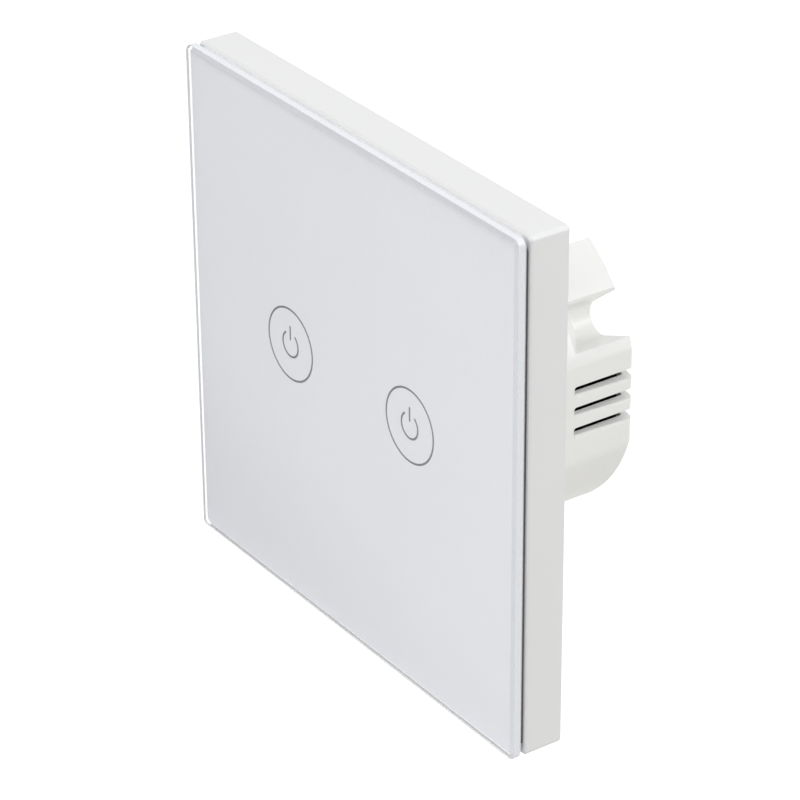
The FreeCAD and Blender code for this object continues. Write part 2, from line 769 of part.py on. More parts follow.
def wire_section(centre, tangent):
    """Five-sided section of the spring wire, square to its tangent."""
    across = tangent.cross(Vector(0, 1, 0))
    across.normalize()
    upward = across.cross(tangent)
    corners = []
    for step in range(WIRE_SIDES):
        angle = 2 * math.pi * step / WIRE_SIDES
        offset = across * math.cos(angle) + upward * math.sin(angle)
        corners.append(centre + offset * SPRING_WIRE_R)
    return Part.makePolygon(corners + corners[:1])


def touch_spring(side):
    x = side * TOUCH_X
    y0 = TOUCH_BOARD_FRONT_Y - SPRING_WIRE_R
    pitch = spring_pitch()
    edges = []
    for half in range(2 * SPRING_TURNS):
        a = half / 2
        b = a + 0.5
        edges += biarc(
            helix_point(x, TOUCH_Z, a, y0, pitch), helix_tangent(a, pitch),
            helix_point(x, TOUCH_Z, b, y0, pitch), helix_tangent(b, pitch),
        )
    path = Part.Wire(edges)
    shell = Part.BRepOffsetAPI.MakePipeShell(path)
    shell.add(wire_section(helix_point(x, TOUCH_Z, 0, y0, pitch), helix_tangent(0, pitch)))
    shell.build()
    shell.makeSolid()
    return shell.shape()


def light_guide(side):
    """A clear ring over its lamps, on four feet, which lights the ring mark on the glass."""
    x = side * TOUCH_X
    foot_y = TOUCH_BOARD_FRONT_Y - LAMP_H - PANEL_CLEARANCE
    half = GUIDE_FOOT_W / 2
    ring = rod_y(x, TOUCH_Z, GUIDE_OUTER_R, SPRING_TOP_Y, foot_y)
    ring = ring.cut(rod_y(x, TOUCH_Z, GUIDE_INNER_R, SPRING_TOP_Y - OVERCUT, foot_y + OVERCUT))
    near = GUIDE_INNER_R + SHAFT_GAP
    far = GUIDE_OUTER_R - SHAFT_GAP
    feet = []
    for turn in (-1, 1):
        low, high = sorted((turn * near, turn * far))
        feet.append(box(x + low, x + high, foot_y, TOUCH_BOARD_FRONT_Y, TOUCH_Z - half, TOUCH_Z + half))
        feet.append(box(x - half, x + half, foot_y, TOUCH_BOARD_FRONT_Y, TOUCH_Z + low, TOUCH_Z + high))
    return ring.fuse(feet)


def ring_leds():
    """Four small lamps under each light guide."""
    lamps = []
    for side in (-1, 1):
        for step in range(LAMPS_PER_RING):
            angle = 2 * math.pi * (step + 0.5) / LAMPS_PER_RING
            x = side * TOUCH_X + LAMP_CIRCLE_R * math.cos(angle)
            z = TOUCH_Z + LAMP_CIRCLE_R * math.sin(angle)
            low_y = TOUCH_BOARD_FRONT_Y - LAMP_H
            half = LAMP_W / 2
            lamps.append(box(x - half, x + half, low_y, TOUCH_BOARD_FRONT_Y, z - half, z + half))
    return Part.makeCompound(lamps)


def header_pin_places():
    first = -(HEADER_PINS - 1) / 2 * HEADER_PITCH
    return [first + i * HEADER_PITCH for i in range(HEADER_PINS)]


def header_posts(width, y0, y1):
    """One square post at each pin's place."""
    half = width / 2
    return [box(x - half, x + half, y0, y1, HEADER_Z - half, HEADER_Z + half) for x in header_pin_places()]


def header_bar(y0, y1):
    half_w = HEADER_W / 2
    half_d = HEADER_D / 2
    return box(-half_w, half_w, y0, y1, HEADER_Z - half_d, HEADER_Z + half_d)


def header_pins():
    """The pin strip under the touch board; its pins reach into the socket."""
    strip_back_y = FLANGE_FRONT_Y + HEADER_STRIP_T
    pins = header_posts(HEADER_PIN_W, strip_back_y, HEADER_PIN_END_Y)
    return header_bar(FLANGE_FRONT_Y, strip_back_y).fuse(pins)


def header_socket():
    body = header_bar(FLANGE_FRONT_Y + HEADER_STRIP_T, POWER_BOARD_Y)
    return body.cut(header_posts(HEADER_HOLE_W, FLANGE_FRONT_Y, HEADER_HOLE_END_Y))


def power_board():
    radius = MOUTH_R - POWER_BOARD_GAP
    half_width = MOUTH_FLAT_X - POWER_BOARD_GAP
    board = flatted_disc(radius, half_width, POWER_BOARD_Y, POWER_BOARD_BACK_Y)
    near = BOSS_XZ - BOSS_R - PANEL_CLEARANCE
    notches = []
    for side_x in (-1, 1):
        low_x, high_x = sorted((side_x * near, side_x * HOUSING_R))
        for side_z in (-1, 1):
            low_z, high_z = sorted((side_z * near, side_z * HOUSING_R))
            notches.append(box(low_x, high_x, 0, POWER_BOARD_BACK_Y + OVERCUT, low_z, high_z))
    return board.cut(notches)


def pole_places():
    first = -(POLES - 1) / 2 * POLE_PITCH
    return [first + i * POLE_PITCH for i in range(POLES)]


# Levels inside the terminal block, from the power board to the rear
POCKET_Y0 = POWER_BOARD_BACK_Y + POCKET_FLOOR_T
CLAMP_Y0 = POCKET_Y0 + CLAMP_REST_GAP
WIRE_Y0 = CLAMP_Y0 + CLAMP_BOTTOM_T
WIRE_Y = WIRE_Y0 + WIRE_GAP / 2
CONTACT_Y0 = WIRE_Y0 + WIRE_GAP
CONTACT_Y1 = CONTACT_Y0 + CONTACT_T
CLAMP_TOP_Y0 = CONTACT_Y1 + CLAMP_TOP_GAP
CLAMP_Y1 = CLAMP_TOP_Y0 + CLAMP_TOP_T
POCKET_Y1 = CLAMP_Y1 + CLAMP_TRAVEL + CLAMP_REST_GAP
POCKET_Z0 = BLOCK_Z0 + POCKET_WALL
POCKET_Z1 = BLOCK_Z1 - POCKET_WALL
SCREW_Z = (POCKET_Z0 + POCKET_Z1) / 2


def terminal_block():
    half = BLOCK_W / 2
    block = box(-half, half, POWER_BOARD_BACK_Y, BLOCK_REAR_Y, BLOCK_Z0, BLOCK_Z1)
    rear_edges = [edge for edge in block.Edges if lies_at_y(edge, BLOCK_REAR_Y)]
    block = block.makeChamfer(BLOCK_CHAMFER, rear_edges)
    cuts = []
    for x in pole_places():
        cuts.append(box(x - POCKET_HALF_W, x + POCKET_HALF_W, POCKET_Y0, POCKET_Y1, POCKET_Z0, POCKET_Z1))
        cuts.append(rod_y(x, SCREW_Z, TERMINAL_HOLE_R, POCKET_Y1 - OVERCUT, BLOCK_REAR_Y + OVERCUT))
        cuts.append(rod_z(x, WIRE_Y, WIRE_HOLE_R, POCKET_Z1 - OVERCUT, BLOCK_Z1 + OVERCUT))
        cuts.append(contact_leg(x))
    return block.cut(cuts)


def contact_leg(x):
    """The leg of one contact bar, which runs down beside the clamp to the board."""
    return box(x - LEG_HALF_W, x + LEG_HALF_W, POWER_BOARD_BACK_Y, CONTACT_Y1, POCKET_Z0, POCKET_Z0 + LEG_T)


def terminal_contacts():
    """The fixed bar of each pole, which the wire is pressed against, with its leg to the board."""
    bars = []
    for x in pole_places():
        half = CONTACT_W / 2
        bar = box(x - half, x + half, CONTACT_Y0, CONTACT_Y1, POCKET_Z0, POCKET_Z1)
        bars.append(bar.fuse(contact_leg(x)).removeSplitter())
    return Part.makeCompound(bars)


def terminal_clamp(x):
    """A square cage that rises towards the screw head and grips the wire."""
    low_z = POCKET_Z0 + CAGE_INSET
    high_z = POCKET_Z1 - CAGE_INSET
    outside = box(x - CLAMP_HALF_W, x + CLAMP_HALF_W, CLAMP_Y0, CLAMP_Y1, low_z, high_z)
    inner_half = CLAMP_HALF_W - CLAMP_SIDE_T
    opening = box(x - inner_half, x + inner_half, WIRE_Y0, CLAMP_TOP_Y0, POCKET_Z0, POCKET_Z1)
    thread = rod_y(x, SCREW_Z, TERMINAL_THREAD_R, CLAMP_TOP_Y0 - OVERCUT, CLAMP_Y1 + OVERCUT)
    return outside.cut([opening, thread])


def terminal_screw(x):
    head_y = BLOCK_REAR_Y - SCREW_SINK
    head = rod_y(x, SCREW_Z, TERMINAL_HEAD_R, head_y - TERMINAL_HEAD_T, head_y)
    shank = rod_y(x, SCREW_Z, TERMINAL_SHANK_R, CONTACT_Y1 + SCREW_TIP_GAP, head_y - TERMINAL_HEAD_T)
    half_slot = DRIVE_SLOT_W / 2
    reach = TERMINAL_HEAD_R + OVERCUT
    floor_y = head_y - DRIVE_SLOT_DEPTH
    slot = box(x - reach, x + reach, floor_y, head_y + OVERCUT, SCREW_Z - half_slot, SCREW_Z + half_slot)
    return head.fuse(shank).cut(slot)


# Levels inside a relay, from the power board to the rear
RELAY_REAR_Y = POWER_BOARD_BACK_Y + RELAY_H
RELAY_Z0 = RELAY_Z1 - RELAY_L
RELAY_FLOOR_Y = POWER_BOARD_BACK_Y + RELAY_BASE_T
COIL_Z = RELAY_Z1 - COIL_TO_END
COIL_Y0 = RELAY_FLOOR_Y + YOKE_T
COIL_Y1 = COIL_Y0 + COIL_LENGTH
POLE_Y = COIL_Y1 + BOBBIN_FLANGE_T
YOKE_Z0 = COIL_Z + COIL_R + YOKE_GAP
YOKE_Z1 = YOKE_Z0 + YOKE_T
ARMATURE_Y0 = POLE_Y + ARMATURE_SEAT_GAP
MOVING_CONTACT_Z = RELAY_Z0 + CONTACT_TO_END


def relay_base(x):
    half = RELAY_W / 2 - RELAY_SHELL
    low_z = RELAY_Z0 + RELAY_SHELL
    high_z = RELAY_Z1 - RELAY_SHELL
    return box(x - half, x + half, POWER_BOARD_BACK_Y, RELAY_FLOOR_Y, low_z, high_z)


def relay_cover(x):
    half = RELAY_W / 2
    open_y = POWER_BOARD_BACK_Y + COVER_LIFT
    shell = box(x - half, x + half, open_y, RELAY_REAR_Y, RELAY_Z0, RELAY_Z1)
    edges = [edge for edge in shell.Edges if lies_at_y(edge, RELAY_REAR_Y)]
    shell = shell.makeChamfer(COVER_CHAMFER, edges)
    inner = half - RELAY_SHELL
    room = box(
        x - inner, x + inner, open_y - OVERCUT, RELAY_REAR_Y - RELAY_SHELL,
        RELAY_Z0 + RELAY_SHELL, RELAY_Z1 - RELAY_SHELL,
    )
    return shell.cut(room)


def relay_coil(x):
    """The winding between the two flanges of its bobbin."""
    flange = BOBBIN_FLANGE_T
    winding = rod_y(x, COIL_Z, COIL_R - WINDING_INSET, COIL_Y0 + flange, COIL_Y1 - flange)
    low_z = COIL_Z - COIL_R
    high_z = COIL_Z + COIL_R
    near = box(x - COIL_R, x + COIL_R, COIL_Y0, COIL_Y0 + flange, low_z, high_z)
    far = box(x - COIL_R, x + COIL_R, COIL_Y1 - flange, COIL_Y1, low_z, high_z)
    bore = stud_y(x, COIL_Z, CORE_R, COIL_Y0 - OVERCUT, COIL_Y1 + OVERCUT)
    return winding.fuse([near, far]).cut(bore)


def relay_yoke(x):
    """The bent iron yoke with the coil's core."""
    half = YOKE_W / 2
    foot = box(x - half, x + half, RELAY_FLOOR_Y, COIL_Y0, COIL_Z - COIL_R, YOKE_Z1)
    upright = box(x - half, x + half, RELAY_FLOOR_Y, POLE_Y, YOKE_Z0, YOKE_Z1)
    core = stud_y(x, COIL_Z, CORE_R, RELAY_FLOOR_Y, POLE_Y)
    return foot.fuse([upright, core]).removeSplitter()


def relay_armature(x):
    """The plate with its contact arm, tilted open about the yoke's outer edge."""
    half = ARMATURE_W / 2
    half_arm = SPRING_ARM_W / 2
    top_y = ARMATURE_Y0 + ARMATURE_T
    arm_y = ARMATURE_Y0 + ARMATURE_T / 2
    arm_z0 = MOVING_CONTACT_Z - CONTACT_POST_REACH
    arm_z1 = COIL_Z - COIL_R + SPRING_ARM_OVERLAP
    plate = box(x - half, x + half, ARMATURE_Y0, top_y, COIL_Z - COIL_R, YOKE_Z1)
    arm = box(x - half_arm, x + half_arm, arm_y, arm_y + SPRING_ARM_T, arm_z0, arm_z1)
    contact = stud_y(x, MOVING_CONTACT_Z, CONTACT_R, ARMATURE_Y0, top_y)
    closed = plate.fuse([arm, contact])
    return closed.rotated(Vector(x, POLE_Y, YOKE_Z1), Vector(1, 0, 0), ARMATURE_OPEN_DEG)


def relay_contact(x):
    """The fixed contact on its post, which the moving contact meets."""
    half = CONTACT_POST_W / 2
    shelf_y = POLE_Y - CONTACT_POST_T
    low_z = MOVING_CONTACT_Z - CONTACT_POST_REACH
    post = box(x - half, x + half, RELAY_FLOOR_Y, shelf_y, low_z, low_z + CONTACT_POST_T)
    shelf_front_y = shelf_y - CONTACT_POST_T
    shelf = box(x - half, x + half, shelf_front_y, shelf_y, low_z, MOVING_CONTACT_Z + CONTACT_R)
    rivet = stud_y(x, MOVING_CONTACT_Z, CONTACT_R, shelf_y, POLE_Y)
    return post.fuse([shelf, rivet]).removeSplitter()


def transformer_core():
    """An iron frame with two windows that the winding passes through."""
    x = -SUPPLY_X
    y0 = POWER_BOARD_BACK_Y + BOBBIN_FOOT_T
    core = box(x - CORE_HALF_W, x + CORE_HALF_W, y0, y0 + CORE_H, CORE_Z0, CORE_Z1)
    windows = []
    for side in (-1, 1):
        low_x, high_x = sorted((side * CORE_WINDOW_X0, side * CORE_WINDOW_X1))
        low_y = y0 + CORE_WINDOW_Y0
        high_y = y0 + CORE_WINDOW_Y1
        windows.append(box(x + low_x, x + high_x, low_y, high_y, CORE_Z0 - OVERCUT, CORE_Z1 + OVERCUT))
    return core.cut(windows)


def transformer_coil():
    """The bobbin's foot and the winding, which fills the core's windows and shows at both ends."""
    x = -SUPPLY_X
    y0 = POWER_BOARD_BACK_Y
    winding_y0 = y0 + BOBBIN_FOOT_T + CORE_WINDOW_Y0
    winding_y1 = y0 + BOBBIN_FOOT_T + CORE_WINDOW_Y1
    foot = box(x - CORE_HALF_W, x + CORE_HALF_W, y0, y0 + BOBBIN_FOOT_T, BOBBIN_Z0, BOBBIN_Z1)
    blocks = []
    for side in (-1, 1):
        low_x, high_x = sorted((side * CORE_WINDOW_X0, side * CORE_WINDOW_X1))
        blocks.append(box(x + low_x, x + high_x, winding_y0, winding_y1, CORE_Z0, CORE_Z1))
    reach = CORE_WINDOW_X1
    foot_y = y0 + BOBBIN_FOOT_T
    blocks.append(box(x - reach, x + reach, foot_y, winding_y1, CORE_Z0 - WINDING_REACH, CORE_Z0))
    blocks.append(box(x - reach, x + reach, foot_y, winding_y1, CORE_Z1, CORE_Z1 + WINDING_REACH))
    return foot.fuse(blocks).removeSplitter()


def mains_capacitor():
    return rod_y(SUPPLY_X, CAN_Z, CAN_R, POWER_BOARD_BACK_Y, POWER_BOARD_BACK_Y + CAN_H)


def varistor():
    """A disc on edge, on two legs."""
    middle_y = POWER_BOARD_BACK_Y + VARISTOR_LIFT
    disc = stud_y(0, 0, VARISTOR_R, 0, VARISTOR_T).rotated(Vector(0, 0, 0), Vector(0, 0, 1), 90)
    disc = disc.translated(Vector(SUPPLY_X - VARISTOR_GAP, middle_y, VARISTOR_Z))
    middle_x = SUPPLY_X - VARISTOR_GAP - VARISTOR_T / 2
    half = LEAD_W / 2
    legs = []
    for z in (VARISTOR_Z - VARISTOR_LEG_Z, VARISTOR_Z + VARISTOR_LEG_Z):
        legs.append(box(middle_x - half, middle_x + half, POWER_BOARD_BACK_Y, middle_y, z - half, z + half))
    return disc.fuse(legs)


def film_capacitor():
    y0 = POWER_BOARD_BACK_Y
    x1 = FILM_CAPACITOR_X0 + FILM_CAPACITOR_L
    return box(FILM_CAPACITOR_X0, x1, y0, y0 + FILM_CAPACITOR_H, FILM_CAPACITOR_Z0, FILM_CAPACITOR_Z1)


def fuse_resistor():
    """A small rod lying above the board, its lead bent down at both ends."""
    middle_y = POWER_BOARD_BACK_Y + FUSE_LIFT
    half = FUSE_LEAD_W / 2
    low_z = FUSE_Z - half
    high_z = FUSE_Z + half
    body = rod_x(middle_y, FUSE_Z, FUSE_R, FUSE_X - FUSE_L / 2, FUSE_X + FUSE_L / 2)
    far = FUSE_LEAD_REACH
    lead = box(FUSE_X - far, FUSE_X + far, middle_y - half, middle_y + half, low_z, high_z)
    legs = []
    for x in (FUSE_X - far + half, FUSE_X + far - half):
        legs.append(box(x - half, x + half, POWER_BOARD_BACK_Y, middle_y, low_z, high_z))
    return body.fuse(legs + [lead]).removeSplitter()


def rectifier():
    y0 = POWER_BOARD_BACK_Y
    low_x = RECTIFIER_X - RECTIFIER_W / 2
    low_z = RECTIFIER_Z - RECTIFIER_L / 2
    low_y = y0 + RECTIFIER_LIFT
    body = box(low_x, low_x + RECTIFIER_W, low_y, low_y + RECTIFIER_T, low_z, low_z + RECTIFIER_L)
    half = RECTIFIER_LEG_W / 2
    leg_z0 = RECTIFIER_Z - RECTIFIER_LEG_L / 2
    legs = []
    for x in (RECTIFIER_X - RECTIFIER_LEG_X, RECTIFIER_X + RECTIFIER_LEG_X):
        legs.append(box(x - half, x + half, y0, y0 + RECTIFIER_LEG_T, leg_z0, leg_z0 + RECTIFIER_LEG_L))
    return body.fuse(legs)


def make_nodes():
    nodes = {
        "glass_panel": glass_panel(),
        "panel_film": panel_film(),
        "front_frame": front_frame(),
        "rear_housing": rear_housing(),
        "board_carrier": board_carrier(),
        "touch_board": touch_board(),
        "touch_chip": touch_chip(),
        "touch_board_parts": touch_board_parts(),
        "radio_module": radio_module(),
        "radio_shield": radio_shield(),
        "radio_antenna": radio_antenna(),
        "ring_leds": ring_leds(),
        "header_pins": header_pins(),
        "header_socket": header_socket(),
        "power_board": power_board(),
        "terminal_block": terminal_block(),
        "terminal_contacts": terminal_contacts(),
        "transformer_core": transformer_core(),
        "transformer_coil": transformer_coil(),
        "mains_capacitor": mains_capacitor(),
        "varistor": varistor(),
        "film_capacitor": film_capacitor(),
        "fuse_resistor": fuse_resistor(),
        "rectifier": rectifier(),
    }
    for number, x in enumerate(pole_places(), start=1):
        nodes[f"terminal_clamp_{number}"] = terminal_clamp(x)
        nodes[f"terminal_screw_{number}"] = terminal_screw(x)
    for name, side in (("left", -1), ("right", 1)):
        nodes[f"touch_spring_{name}"] = touch_spring(side)
        nodes[f"light_guide_{name}"] = light_guide(side)
        x = side * RELAY_X
        nodes[f"relay_base_{name}"] = relay_base(x)
        nodes[f"relay_cover_{name}"] = relay_cover(x)
        nodes[f"relay_coil_{name}"] = relay_coil(x)
        nodes[f"relay_yoke_{name}"] = relay_yoke(x)
        nodes[f"relay_armature_{name}"] = relay_armature(x)
        nodes[f"relay_contact_{name}"] = relay_contact(x)
    return nodes


def main():
    os.makedirs("parts", exist_ok=True)
    print_spring_gap()
    for name, shape in make_nodes().items():
        valid = "valid" if shape.isValid() else "NOT VALID"
        print(name, len(shape.Solids), "solid(s)", round(shape.Volume, 2), "mm3", valid)
        shape.exportStep(f"parts/{name}.step")


main()
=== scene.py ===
"""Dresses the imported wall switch: its glass, print, mouldings, boards, terminals and the studio round it."""
import json
import math
from contextlib import contextmanager

import bmesh
import bpy
from mathutils import Matrix, Vector

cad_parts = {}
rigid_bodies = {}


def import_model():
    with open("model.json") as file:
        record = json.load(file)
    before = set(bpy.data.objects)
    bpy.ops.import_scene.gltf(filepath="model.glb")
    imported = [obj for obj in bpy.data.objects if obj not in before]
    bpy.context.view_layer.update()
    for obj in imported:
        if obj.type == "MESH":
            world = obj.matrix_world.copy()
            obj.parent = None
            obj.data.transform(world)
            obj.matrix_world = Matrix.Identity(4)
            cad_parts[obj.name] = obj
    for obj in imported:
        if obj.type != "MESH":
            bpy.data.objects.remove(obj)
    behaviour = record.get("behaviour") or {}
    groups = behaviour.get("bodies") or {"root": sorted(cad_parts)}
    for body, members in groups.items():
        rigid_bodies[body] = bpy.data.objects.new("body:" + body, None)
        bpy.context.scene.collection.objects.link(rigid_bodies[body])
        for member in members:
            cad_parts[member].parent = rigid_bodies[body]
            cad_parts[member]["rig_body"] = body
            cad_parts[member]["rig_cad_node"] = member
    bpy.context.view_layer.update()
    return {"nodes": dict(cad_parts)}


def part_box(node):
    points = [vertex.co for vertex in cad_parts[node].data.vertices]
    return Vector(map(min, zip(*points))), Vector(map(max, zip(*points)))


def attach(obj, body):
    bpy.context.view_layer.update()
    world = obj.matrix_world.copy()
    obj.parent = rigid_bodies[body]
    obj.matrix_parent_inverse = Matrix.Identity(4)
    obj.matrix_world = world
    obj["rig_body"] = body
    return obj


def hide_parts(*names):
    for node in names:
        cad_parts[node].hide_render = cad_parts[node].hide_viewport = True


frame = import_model()

bl_info = {
    "name": "Touch wall switch",
    "version": (1, 0, 0),
    "blender": (4, 5, 0),
    "location": "3D View > Sidebar > Wall switch",
    "description": "Finishes the pieces of a two-way touch switch with a glass front",
    "category": "Object",
}

MM = 0.001
UP_IS_OUT = (math.pi / 2, 0.0, 0.0)
SIDES = (("left", -1), ("right", 1))
POLES = (1, 2, 3, 4)

GLASS_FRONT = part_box("glass_panel")[0].y
FILM_LOW, FILM_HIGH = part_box("panel_film")
BOARD_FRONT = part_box("touch_board")[0].y

PRINT_SINK = 0.03 * MM
PRINT_THICKNESS = 0.06 * MM
TAPE_FRONT_GAP = 0.065 * MM
FILLER_SIDE_GAP = 0.85 * MM
BACKING_THICKNESS = 0.34 * MM
BACKING_GAP = 0.3 * MM
BACKING_CORNER = 3.0 * MM
INK_THICKNESS = 0.03 * MM

# The black sheet on the rear wall is painted shade: it makes the vent slots look black inside.
SHEET_MIDDLE = Vector((0.0, 24.6, -4.1)) * MM
SHEET_SIZE = Vector((46.4, 0.15, 18.0)) * MM
UPPER_CLIP = 0.8 * MM
LOWER_CLIP = 7.0 * MM
BARRIER_MIDDLE = Vector((0.0, 19.25, -4.1)) * MM
BARRIER_SIZE = Vector((0.3, 10.5, 17.6)) * MM
BARRIER_CORNER = 2.0 * MM
POCKET_SIZE = (2.0 * MM, 11.0 * MM, 10.4 * MM)

SLOT_LEVELS = (4.0 * MM, 0.5 * MM, -3.0 * MM)
SLOT_HEIGHT = 1.7 * MM
FLAT_SIDE_X = 25.3 * MM
SILL_CHAMFER = 0.65 * MM

RESISTOR_X = 7.0 * MM
RESISTOR_HALF_WIDTH = 0.4 * MM
RESISTOR_PITCH = 2.4 * MM
CAP_SIZE = Vector((0.36, 0.64, 0.86)) * MM
CAP_SHIFT = 0.64 * MM
LAMP_RING = 6.15 * MM
LENS_RADIUS = 0.38 * MM
EDGE_PAD_SIZE = Vector((1.3, 0.06, 1.0)) * MM
EDGE_PAD_PITCH = 2.0 * MM
EDGE_PADS_BELOW_TOP = 8.2 * MM
EDGE_HOLE_RADIUS = 0.28 * MM
CHIP_HALF_WIDTH = 2.0 * MM
CHIP_MARK_RADIUS = 0.42 * MM

GLASS_ROUNDING = 0.1 * MM
BLOCK_ROUNDING = 0.15 * MM
SCREW_ROUNDING = 0.12 * MM
CAN_ROUNDING = 0.18 * MM

FLOOR_SIZE = 8.0
FLOOR_LEVEL = -0.6
# Name, place and size in metres, and power in watts
LAMPS = (
    ("top_lamp", (0.1, 0.1, 1.1), 0.9, 0.6),
    ("right_lamp", (0.86, 0.55, 0.44), 0.5, 3.8),
    ("front_lamp", (0.1, -0.95, 0.8), 0.8, 5.2),
)


# Settings that a user may change

def colour_setting(name, description, default):
    """A setting that is a colour."""
    return bpy.props.FloatVectorProperty(
        name=name, description=description, subtype="COLOR", min=0.0, max=1.0, default=default)


def length_setting(name, description, default):
    """A setting that is a length."""
    return bpy.props.FloatProperty(name=name, description=description, unit="LENGTH", default=default)


def angle_setting(name, description, degrees):
    """A setting that is an angle."""
    return bpy.props.FloatProperty(
        name=name, description=description, subtype="ANGLE", default=math.radians(degrees))


class SwitchPrintSettings(bpy.types.PropertyGroup):
    """The glass and what is printed behind it."""

    glass_tint: colour_setting(
        "Glass tint", "Colour that light takes on in the cover glass", (0.985, 0.995, 0.99))
    print_colour: colour_setting(
        "Print", "Colour of the white print behind the glass", (0.775, 0.78, 0.83))
    mark_colour: colour_setting("Marks", "Colour of the rings and power marks", (0.09, 0.09, 0.095))
    # The tape's dark colour is painted shade for the gap between the glass and the frame.
    shade_tape_colour: colour_setting(
        "Tape", "Colour of the foam tape between the print and the frame", (0.11, 0.1, 0.1))
    print_reach: length_setting(
        "Print reach", "Distance from the middle of the panel to the edge of the print", 42.6 * MM)
    # The tape reaches further at the sides than at the top and the bottom, so that its painted shade shows
    # only at the sides.
    shade_tape_reach: length_setting(
        "Tape reach", "Distance from the middle of the panel to the tape's side edges", 42.45 * MM)
    shade_tape_height: length_setting(
        "Tape height", "Distance from the middle of the panel to the tape's top and bottom", 41.3 * MM)
    opening_reach: length_setting(
        "Opening reach", "Distance from the middle of the panel to the tape's inner edges", 31.8 * MM)
    ring_radius: length_setting(
        "Ring radius", "Radius of each touch ring, to the outside of its line", 6.22 * MM)
    line_width: length_setting("Line width", "Width of the printed lines", 0.34 * MM)
    mark_radius: length_setting(
        "Power mark radius", "Radius of the open circle in the middle of each ring", 2.1 * MM)
    touch_spacing: length_setting(
        "Touch spacing", "Distance of each touch field from the middle of the panel", 16.0 * MM)
    touch_height: length_setting(
        "Touch height", "Height of the touch fields above the middle of the panel", 1.8 * MM)


class SwitchPlasticSettings(bpy.types.PropertyGroup):
    """Colours of the moulded parts."""

    frame_colour: colour_setting(
        "Front frame", "Colour of the satin white front frame", (0.8, 0.802, 0.804))
    housing_colour: colour_setting(
        "Rear housing", "Colour of the white rear housing", (0.885, 0.885, 0.87))
    terminal_colour: colour_setting(
        "Terminal block", "Colour of the black terminal block", (0.022, 0.022, 0.024))


class SwitchScrewSettings(bpy.types.PropertyGroup):
    """Sizes of the screws that hold the touch board on its carrier."""

    head_radius: length_setting("Head radius", "Radius of a carrier screw's head", 2.1 * MM)
    head_height: length_setting("Head height", "Height of a carrier screw's head", 1.3 * MM)
    shank_radius: length_setting("Shank radius", "Radius of a carrier screw's shank", 1.0 * MM)
    shank_length: length_setting("Shank length", "Length of a carrier screw's shank", 8.0 * MM)
    screw_spacing: length_setting(
        "Screw spacing", "Distance of each carrier screw from the middle, both ways", 16.6 * MM)


class SwitchSpringSettings(bpy.types.PropertyGroup):
    """Sizes of the touch springs."""

    spring_radius: length_setting(
        "Coil radius", "Radius of a touch spring, to the middle of its wire", 2.4 * MM)
    wire_radius: length_setting("Wire radius", "Radius of a touch spring's wire", 0.225 * MM)
    spring_turns: bpy.props.IntProperty(
        name="Turns", description="Number of turns of a touch spring", min=1, max=12, default=3)


class SwitchBoardSettings(bpy.types.PropertyGroup):
    """Colours of the boards."""

    mask_colour: colour_setting(
        "Solder mask", "Colour of the touch and power boards", (0.018, 0.12, 0.045))
    module_colour: colour_setting(
        "Radio board", "Colour of the radio module's board", (0.012, 0.02, 0.075))


class SwitchStageSettings(bpy.types.PropertyGroup):
    """The camera and the light."""

    azimuth: angle_setting("Azimuth", "Direction of the camera round the switch", 55.254)
    elevation: angle_setting("Elevation", "Height of the camera above the switch, as an angle", 28.629)
    roll: angle_setting("Roll", "Turn of the camera about its own line of sight", -0.43)
    distance: length_setting("Distance", "Distance from the camera to the glass", 539.8 * MM)
    lens: bpy.props.FloatProperty(
        name="Lens", description="Focal length of the camera on a 36 mm sensor",
        unit="CAMERA", default=160.2)
    sky: bpy.props.FloatProperty(
        name="Studio light", description="Strength of the even light from all round",
        subtype="FACTOR", min=0.0, max=2.0, default=0.7)


# Helpers for modelling

def select_only(piece):
    bpy.ops.object.select_all(action="DESELECT")
    piece.select_set(True)
    bpy.context.view_layer.objects.active = piece


def name_new(name):
    """Names the primitive that was just added, and its mesh."""
    piece = bpy.context.active_object
    piece.name = name
    piece.data.name = name
    return piece


def settle(piece):
    """Puts a piece's place, turn and scale into its mesh."""
    select_only(piece)
    bpy.ops.object.transform_apply(location=True, rotation=True, scale=True)
    return piece


def add_box(name, middle, size, turn=0.0):
    """A box of that size round its middle, which may be turned about y."""
    bpy.ops.mesh.primitive_cube_add(size=1.0, location=middle, rotation=(0.0, turn, 0.0), scale=size)
    return settle(name_new(name))


@contextmanager
def editing(piece, elements="FACE", start="DESELECT"):
    """Edit mode on a piece, with nothing selected at first, or all of it where start is SELECT."""
    select_only(piece)
    bpy.ops.object.mode_set(mode="EDIT")
    bpy.ops.mesh.select_mode(type=elements)
    bpy.ops.mesh.select_all(action=start)
    yield
    bpy.ops.object.mode_set(mode="OBJECT")


def select_faces(piece, wanted):
    """In edit mode, selects just the faces whose middle and normal pass the test."""
    mesh = bmesh.from_edit_mesh(piece.data)
    for face in mesh.faces:
        face.select_set(wanted(face.calc_center_median(), face.normal))
    bmesh.update_edit_mesh(piece.data)


def select_edges(piece, wanted):
    """In edit mode, selects just the edges whose two ends pass the test."""
    mesh = bmesh.from_edit_mesh(piece.data)
    for edge in mesh.edges:
        edge.select_set(wanted(edge.verts[0].co, edge.verts[1].co))
    bmesh.update_edit_mesh(piece.data)


def push(y):
    """In edit mode, extrudes what is selected by that much towards the rear."""
    bpy.ops.mesh.extrude_region_move(TRANSFORM_OT_translate={"value": (0.0, y, 0.0)})


def bevel_edges(piece, wanted, width, segments=1):
    """Bevels just the edges whose two ends pass the test."""
    with editing(piece, "EDGE"):
        select_edges(piece, wanted)
        bpy.ops.mesh.bevel(offset=width, segments=segments)


def close_up(piece):
    """Merges a piece's points and turns all its faces outwards."""
    with editing(piece, start="SELECT"):
        bpy.ops.mesh.remove_doubles(threshold=0.001 * MM)
        bpy.ops.mesh.normals_make_consistent(inside=False)


